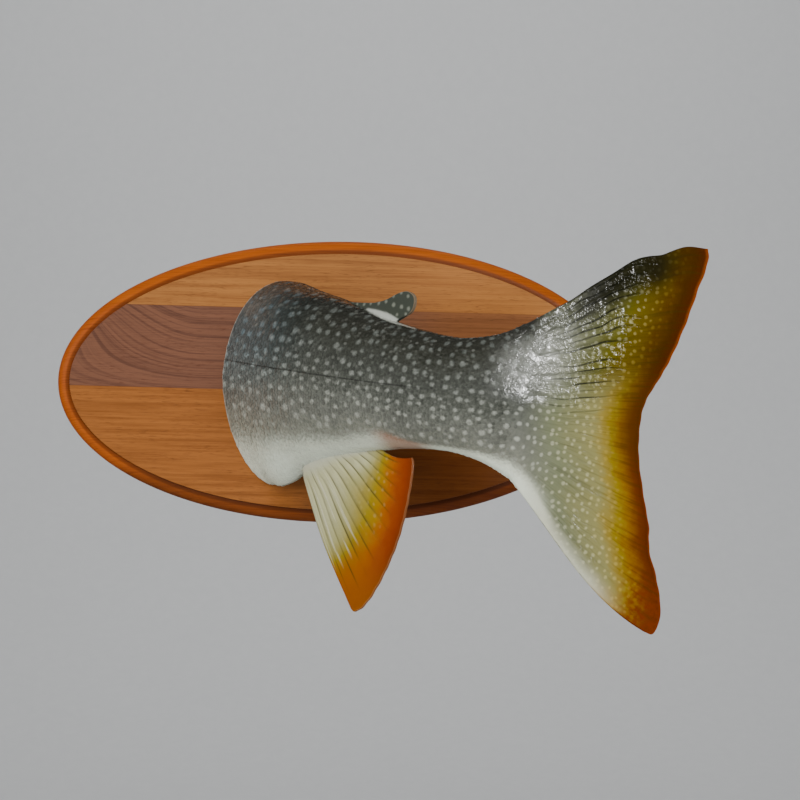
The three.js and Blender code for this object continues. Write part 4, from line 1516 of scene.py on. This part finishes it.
    def trim_at_plaque(self, body: Object) -> None:
        """Cuts the body off just behind the plaque's face and closes the cut.

        Args:
            body: The body's sheet.
        """
        activate(body)
        bpy.ops.object.mode_set(mode="EDIT")
        bpy.ops.mesh.select_all(action="SELECT")
        level = -(self.form.line.face - 0.4) * MM
        bpy.ops.mesh.bisect(
            plane_co=(0, level, 0), plane_no=(0, 1, 0), use_fill=True, clear_inner=False, clear_outer=True
        )
        bpy.ops.object.mode_set(mode="OBJECT")

    def smooth_seams(self, body: Object) -> None:
        """Rounds the inner corner where the fins grow out of the body.

        Args:
            body: The joined skin.
        """
        points = get_points(body.data)
        near = np.zeros(len(points), bool)
        for fin, after, reach in ((self.form.anal, 9, 4.6), (self.form.adipose, 2, 4.2)):
            near |= gap_to(self.form.base_line(fin, 2, after, 120), points) < reach
        activate(body)
        for element in (body.data.polygons, body.data.edges):
            element.foreach_set("select", np.zeros(len(element), bool))
        body.data.vertices.foreach_set("select", near)
        bpy.ops.object.mode_set(mode="EDIT")
        bpy.ops.mesh.select_mode(type="VERT")
        bpy.ops.mesh.vertices_smooth(factor=0.5, repeat=self.seam_smoothing)
        bpy.ops.object.mode_set(mode="OBJECT")
        write_attributes(body.data, self.form.painted_root_highlight(get_points(body.data)))

    def carry_markings(self, body: Object, sources: list) -> None:
        """Gives every vertex of the joined skin the markings of the nearest sheet vertex.

        Args:
            body: The joined skin.
            sources: Points and markings of each sheet.
        """
        points = np.concatenate([source[0] for source in sources])
        tree = kdtree.KDTree(len(points))
        for index, point in enumerate(points):
            tree.insert(point, index)
        tree.balance()
        nearest = np.array([tree.find(vertex.co)[1] for vertex in body.data.vertices])
        for name in sources[0][1]:
            rows = np.concatenate([marks[name] for _, marks in sources])[nearest]
            write_attributes(body.data, {name: rows})


@dataclass
class ScaleCoat:
    """Overlapping scales on both flanks, from the plaque to the tail fin's root."""

    form: FishForm
    rows: int = 52  # rows of scales on one side, from belly to back
    first: float = -32.0
    last: float = 233.0
    pitch_front: float = 3.0  # mm from scale to scale at the plaque
    pitch_rear: float = 1.9
    scatter: float = 0.17  # in pitches
    overlap: float = 1.55  # a scale's length in pitches
    side_overlap: float = 1.12
    lift: float = 0.42  # mm that the free edge stands off
    fin_clearance: float = 4.4
    ridge_gap: float = 0.6  # mm kept free along the back's and the belly's middle
    fleshy_root: tuple = (236.0, 8.0, 11.0)  # where the scales end, how much sooner in the middle, scatter
    patch_size: float = 0.003  # of one scale on the bake map
    seed: int = 12

    def build(self, material: Material) -> list[Object]:
        """Builds both sides.

        Args:
            material: The fish's finish.

        Returns:
            The two pieces.
        """
        pattern = self.one_scale()
        pieces = []
        for name, side in (("scales_room_side", 1), ("scales_wall_side", -1)):
            roots = self.roots(side)
            pieces.append(self.joined(name, pattern, roots, side, material))
        bpy.data.objects.remove(pattern, do_unlink=True)
        return pieces

    def one_scale(self) -> Object:
        """One scale, 1 long and 1 wide, lying on z = 0 with its free edge at +x: a thin closed lens.

        Returns:
            The scale, which is removed once it has been copied.
        """
        deselect()
        bpy.ops.mesh.primitive_uv_sphere_add(segments=7, ring_count=2, radius=0.5)
        scale = bpy.context.object
        points = get_points(scale.data)
        rear = points[:, 0] > 0
        points[:, 0] *= np.where(rear, 1.0, 0.85)
        points[:, 1] *= np.where(points[:, 0] < -0.2, 0.7, 1.08)
        points[:, 2] = np.where(points[:, 2] > 0.1, 0.16, np.where(points[:, 2] < -0.1, -0.03, 0.0))
        set_points(scale.data, points)
        return scale

    def roots(self, side: int) -> dict[str, Array]:
        """Places, lie and size of every scale on one side.

        Args:
            side: 1 for the room's side, -1 for the wall's.

        Returns:
            Arrays with one entry a scale.
        """
        form = self.form
        random = np.random.default_rng(self.seed + side)
        along_rows = [self.first]
        while along_rows[-1] < self.last:
            along_rows.append(along_rows[-1] + self.pitch(along_rows[-1]))
        parts = {name: [] for name in ("along", "height", "width", "length")}
        for index, along in enumerate(along_rows):
            clipped = min(along, form.end)
            low, high = form.girth(np.array([clipped, clipped]), np.array([-1.0, 1.0]))
            lower_rows = int(round(self.rows * -low / (high - low)))
            upper_rows = self.rows - lower_rows
            places = np.arange(-lower_rows, upper_rows) + (0.5 if index % 2 else 0.0)
            girths = np.where(places < 0, places * -low / lower_rows, places * high / upper_rows)
            girths = girths[(girths > low + self.ridge_gap) & (girths < high - self.ridge_gap)]
            jitter = random.normal(0, self.scatter * self.pitch(along), (2, len(girths)))
            parts["height"].append(form.height_at(clipped, girths + jitter[0]))
            parts["along"].append(along + jitter[1])
            parts["width"].append(np.full(len(girths), (high - low) / self.rows * self.side_overlap))
            parts["length"].append(np.full(len(girths), self.pitch(along) * self.overlap))
        roots = {name: np.concatenate(rows) for name, rows in parts.items()}
        count = len(roots["along"])
        roots["length"] = roots["length"] * random.normal(1, 0.06, count)
        roots["width"] = roots["width"] * random.normal(1, 0.05, count)
        roots["turn"] = random.normal(0, 0.12, count)
        level = form.level(roots["along"], roots["height"])
        sleek = 1 - 0.76 * smoothstep(0.40, 0.85, level) - 0.20 * smoothstep(190, 228, roots["along"])
        roots["lift"] = self.lift * random.normal(1, 0.2, count) * sleek
        roots["chance"] = random.normal(0, 1, count)
        roots["end"] = random.random(count)
        keep = self.clear_of_fins(roots, side)
        return {name: rows[keep] for name, rows in roots.items()}

    def pitch(self, along: float) -> float:
        """Length from scale to scale at a length along the fish."""
        return self.pitch_front + (self.pitch_rear - self.pitch_front) * np.clip(along / self.form.end, 0, 1)

    def surface(self, along: Array, height: Array, side: int) -> Array:
        """Points of the skin below the scales, on body and tail root.

        Args:
            along: Lengths along the fish.
            height: From -1 at the belly to 1 at the back.
            side: 1 for the room's side, -1 for the wall's.

        Returns:
            One row of x, y, z for each point.
        """
        form = self.form
        on_body = np.minimum(along, form.end)
        up, out = form.skin_section(on_body, height)
        tail = form.tail_point(form.share_of_ray(along), height)
        past = along > form.end + form.root_gap
        up = np.where(past, tail["up"], up)
        out = np.where(past, tail["half"], out)
        middle = np.where(past, tail["out"], 0.0)
        place = np.where(past, tail["along"], on_body)
        return form.line.place(place, up, middle + side * out)

    def clear_of_fins(self, roots: dict, side: int) -> Array:
        """Finds the scales that lie on open skin in front of the plaque.

        Args:
            roots: Places, lie and sizes.
            side: 1 for the room's side, -1 for the wall's.

        Returns:
            Whether each scale is kept.
        """
        form = self.form
        point = self.surface(roots["along"], roots["height"], side)
        keep = point[:, 1] < -(form.line.face + 0.5) * MM
        for fin, after in ((form.anal, 6), (form.adipose, -3)):
            keep &= gap_to(form.base_line(fin, -3, after, 100), point) > self.fin_clearance
        end, sooner, scatter = self.fleshy_root
        fleshy = end - sooner * (1 - np.abs(roots["height"]) ** 2) - scatter * roots["end"]
        return keep & (roots["along"] < fleshy)

    def joined(
        self, name: str, pattern: Object, roots: dict, side: int, material: Material,
    ) -> Object:
        """One mesh of all scales of a side.

        Args:
            name: The piece's name.
            pattern: One scale.
            roots: Places, lie and sizes.
            side: 1 for the room's side, -1 for the wall's.
            material: The fish's finish.

        Returns:
            The piece.
        """
        form = self.form
        along, height = roots["along"], roots["height"]
        centre, ahead, above, normal = self.directions(roots, side)
        shape = get_points(pattern.data)
        x, y, z = shape.T
        length, width, lift = (roots[size][:, None] for size in ("length", "width", "lift"))
        rise = lift * (x[None, :] + 0.30) * 0.9 + z[None, :] * 0.9
        points = (
            centre[:, None, :]
            + ahead[:, None, :] * (x[None, :] * length)[..., None] * MM
            + above[:, None, :] * (y[None, :] * width)[..., None] * MM
            + normal[:, None, :] * rise[..., None] * MM
        )
        faces = [list(face.vertices) for face in pattern.data.polygons]
        starts = range(0, len(along) * len(shape), len(shape))
        mesh = bpy.data.meshes.new(name)
        corners = [tuple(corner + start for corner in face) for start in starts for face in faces]
        mesh.from_pydata(points.reshape(-1, 3), [], corners)
        piece = bpy.data.objects.new(name, mesh)
        bpy.context.scene.collection.objects.link(piece)
        place_along = along[:, None] + x[None, :] * length
        girth = form.girth(np.minimum(along, form.end), height)[:, None] + y[None, :] * width
        ray = np.broadcast_to(height[:, None], place_along.shape)
        level = form.level(place_along, ray)
        rim = (np.hypot(x, y) > 0.3) * np.where(x > -0.1, 1.0, 0.5)
        share = form.share_of_ray(place_along)
        tail = form.tail_point(share, ray)
        marks = gather_marks(
            place=(place_along, girth, side * FishSkin.side_shift),
            tone=(level, rim[None, :], roots["chance"][:, None]),
            fin=((1 - share) * tail["length"], tail["lead"], share),
            rays=(ray, tail["furrow"], -points[..., 1] / MM - form.line.face),
            kind=(form.tail_tone(share), 0, 0),
            spot=form.spot_map(place_along, girth, level),
        )
        write_attributes(mesh, marks | form.painted_root_highlight(points.reshape(-1, 3)))
        self.add_bake_map(mesh, roots, shape, faces)
        finish(piece, material, 60)
        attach(piece, "root")
        return piece

    def directions(self, roots: dict, side: int) -> tuple:
        """Centre and directions of every scale.

        Args:
            roots: Places, lie and sizes.
            side: 1 for the room's side, -1 for the wall's.

        Returns:
            Centre, and the directions of length, width and thickness, one row a scale.
        """
        along, height = roots["along"], roots["height"]
        centre = self.surface(along, height, side)
        ahead = self.surface(along + 0.5, height, side) - centre
        above = self.surface(along, np.clip(height + 0.01, -1, 1), side)
        above = above - self.surface(along, np.clip(height - 0.01, -1, 1), side)
        ahead /= np.linalg.norm(ahead, axis=1, keepdims=True)
        normal = np.cross(ahead, above) * side
        normal /= np.linalg.norm(normal, axis=1, keepdims=True)
        above = np.cross(normal, ahead)
        cosine, sine = np.cos(roots["turn"])[:, None], np.sin(roots["turn"])[:, None]
        return centre, ahead * cosine + above * sine, above * cosine - ahead * sine, normal

    def add_bake_map(self, mesh: Mesh, roots: dict, shape: Array, faces: list) -> None:
        """Lays each scale as a small patch at its root's place on the unrolled skin.

        Args:
            mesh: The mesh of all scales.
            roots: Places, lie and sizes.
            shape: One scale's points.
            faces: One scale's faces.
        """
        layer = mesh.uv_layers.new(name="OFBake")
        along, height = roots["along"], roots["height"]
        girth = self.form.girth(np.minimum(along, self.form.end), height)
        low, high = self.form.girth(np.array([0.0, 0.0]), np.array([-1.0, 1.0]))
        u = 0.02 + 0.96 * (along - self.first) / (self.last + 4 - self.first)
        v = 0.02 + 0.96 * (girth - low) / (high - low)
        corners = np.array([corner for face in faces for corner in face])
        patch = shape[corners, :2] * self.patch_size
        uv = np.stack([u, v], -1)[:, None, :] + patch[None, :, :]
        layer.data.foreach_set("uv", uv.astype(np.float32).ravel())


@dataclass
class LakeTroutTail:
    """The preserved rear end of a lake trout: skin, fins and scales in one finish."""

    form: FishForm = field(default_factory=FishForm)
    finish: LacqueredTroutSkin = field(default_factory=LacqueredTroutSkin)

    def build(self) -> None:
        """Builds and dresses the fish."""
        material = self.finish.build()
        skin = FishSkin(self.form).build(material)
        log.info("skin: %d faces", len(skin.data.polygons))
        for piece in ScaleCoat(self.form).build(material):
            log.info("%s: %d faces", piece.name, len(piece.data.polygons))


# --- Studio ---------------------------------------------------------------------------------


@dataclass
class Studio:
    """Pale floor and sweep, soft lights and the camera."""

    camera_x: float = 44.2
    camera_z: float = -13.0
    camera_distance: float = 1600.0  # from the plaque's face
    face: float = 19.0
    sensor: float = 36.0
    focal_pixels: float = 2223.6
    frame_pixels: int = 800
    floor_level: float = -0.62
    floor_depth: float = 2.6

    def build(self) -> None:
        """Builds the whole studio."""
        self.camera()
        self.sweep()
        self.lights()
        self.world()

    def camera(self) -> None:
        """Level camera in front of the plaque."""
        deselect()
        y = -(self.face + self.camera_distance) * MM
        bpy.ops.object.camera_add(
            location=(self.camera_x * MM, y, self.camera_z * MM), rotation=(math.radians(90), 0, 0)
        )
        camera = bpy.context.object
        camera.name = "camera"
        camera.data.sensor_fit = "HORIZONTAL"
        camera.data.sensor_width = self.sensor
        camera.data.lens = self.sensor * self.focal_pixels / self.frame_pixels
        camera.data.clip_start = 0.05
        bpy.context.scene.camera = camera

    def sweep(self) -> None:
        """Floor that curves up far behind the object."""
        deselect()
        bpy.ops.mesh.primitive_plane_add(size=1)
        floor = bpy.context.object
        floor.name = floor.data.name = "studio_floor"
        bpy.ops.object.mode_set(mode="EDIT")
        bpy.ops.mesh.select_all(action="SELECT")
        bpy.ops.transform.resize(value=(9, 7, 1))
        bpy.ops.transform.translate(value=(0, self.floor_depth - 3.5, self.floor_level))
        mesh = bmesh.from_edit_mesh(floor.data)
        for edge in mesh.edges:
            edge.select_set(all(vertex.co.y > self.floor_depth - 0.01 for vertex in edge.verts))
        bmesh.update_edit_mesh(floor.data)
        bpy.ops.mesh.extrude_region_move(TRANSFORM_OT_translate={"value": (0, 0.6, 3.2)})
        bpy.ops.mesh.select_all(action="SELECT")
        bpy.ops.object.mode_set(mode="OBJECT")
        activate(floor)
        bevel = floor.modifiers.new("bend", "BEVEL")
        bevel.width, bevel.segments, bevel.limit_method = 1.0, 24, "NONE"
        bpy.ops.object.modifier_apply(modifier=bevel.name)
        bpy.ops.object.shade_smooth()
        floor.data.materials.append(self.paper())
        floor.visible_glossy = False

    def paper(self) -> Material:
        """Matt pale background paper with a faint tooth.

        Returns:
            The material, in object coordinates.
        """
        material, tree, shader = new_material("matt_background_paper")
        metres = add(tree, "ShaderNodeTexCoord", output="Object")
        tooth = metres.into("ShaderNodeTexNoise", {"Scale": 60.0, "Detail": 2.0})
        connect(shader, {"Base Color": mix(tooth, "#c9cacb", "#cfd0d0"), "Roughness": 0.9})
        return material

    def lights(self) -> None:
        """Soft lights that give no hard reflection, and small ones that only glint in the lacquer."""
        body, tail, backdrop = (0.03, -0.09, 0.0), (0.13, -0.16, 0.0), (0.0, 2.4, 0.0)
        for name, place, size, power, aim, glint in (
            ("key_light", (0.04, -1.60, 0.80), 0.85, 23.0, body, False),
            ("left_soft_light", (-1.25, -0.95, 0.22), 1.3, 18.0, (0.0, -0.09, 0.0), False),
            ("low_fill", (-0.30, -1.05, -0.90), 0.8, 1.2, body, False),
            ("right_soft_light", (0.97, -1.41, 0.18), 0.80, 12.5, tail, False),
            ("right_glint", (0.78, -1.24, 0.14), 0.46, 9.5, tail, True),
            ("spark_glint", (0.80, -1.22, 0.10), 0.12, 6.0, tail, True),
            ("upper_glint", (0.386, -1.488, 0.339), 0.16, 1.6, tail, True),
            ("background_light", (0.0, 0.9, 1.9), 1.6, 34.0, backdrop, False),
        ):
            deselect()
            bpy.ops.object.light_add(type="AREA", location=place)
            light = bpy.context.object
            light.name = name
            light.data.size = size
            light.data.energy = power
            light.visible_glossy = glint
            light.visible_diffuse = not glint
            light.rotation_euler = (Vector(aim) - Vector(place)).to_track_quat("-Z", "Y").to_euler()

    def world(self) -> None:
        """Even pale surroundings."""
        world = bpy.data.worlds.new("pale_room")
        bpy.context.scene.world = world
        world.use_nodes = True
        background = world.node_tree.nodes["Background"]
        background.inputs[0].default_value = linear("#dfe2e6")
        background.inputs[1].default_value = 0.08


def main() -> None:
    """Builds every piece in order and reports it."""
    logging.basicConfig(level=logging.INFO, format="%(message)s")
    Studio().build()
    log.info("studio built")
    Plaque().build()
    log.info("plaque built")
    LakeTroutTail().build()
    log.info("fish built")


if __name__ == "__main__":
    main()
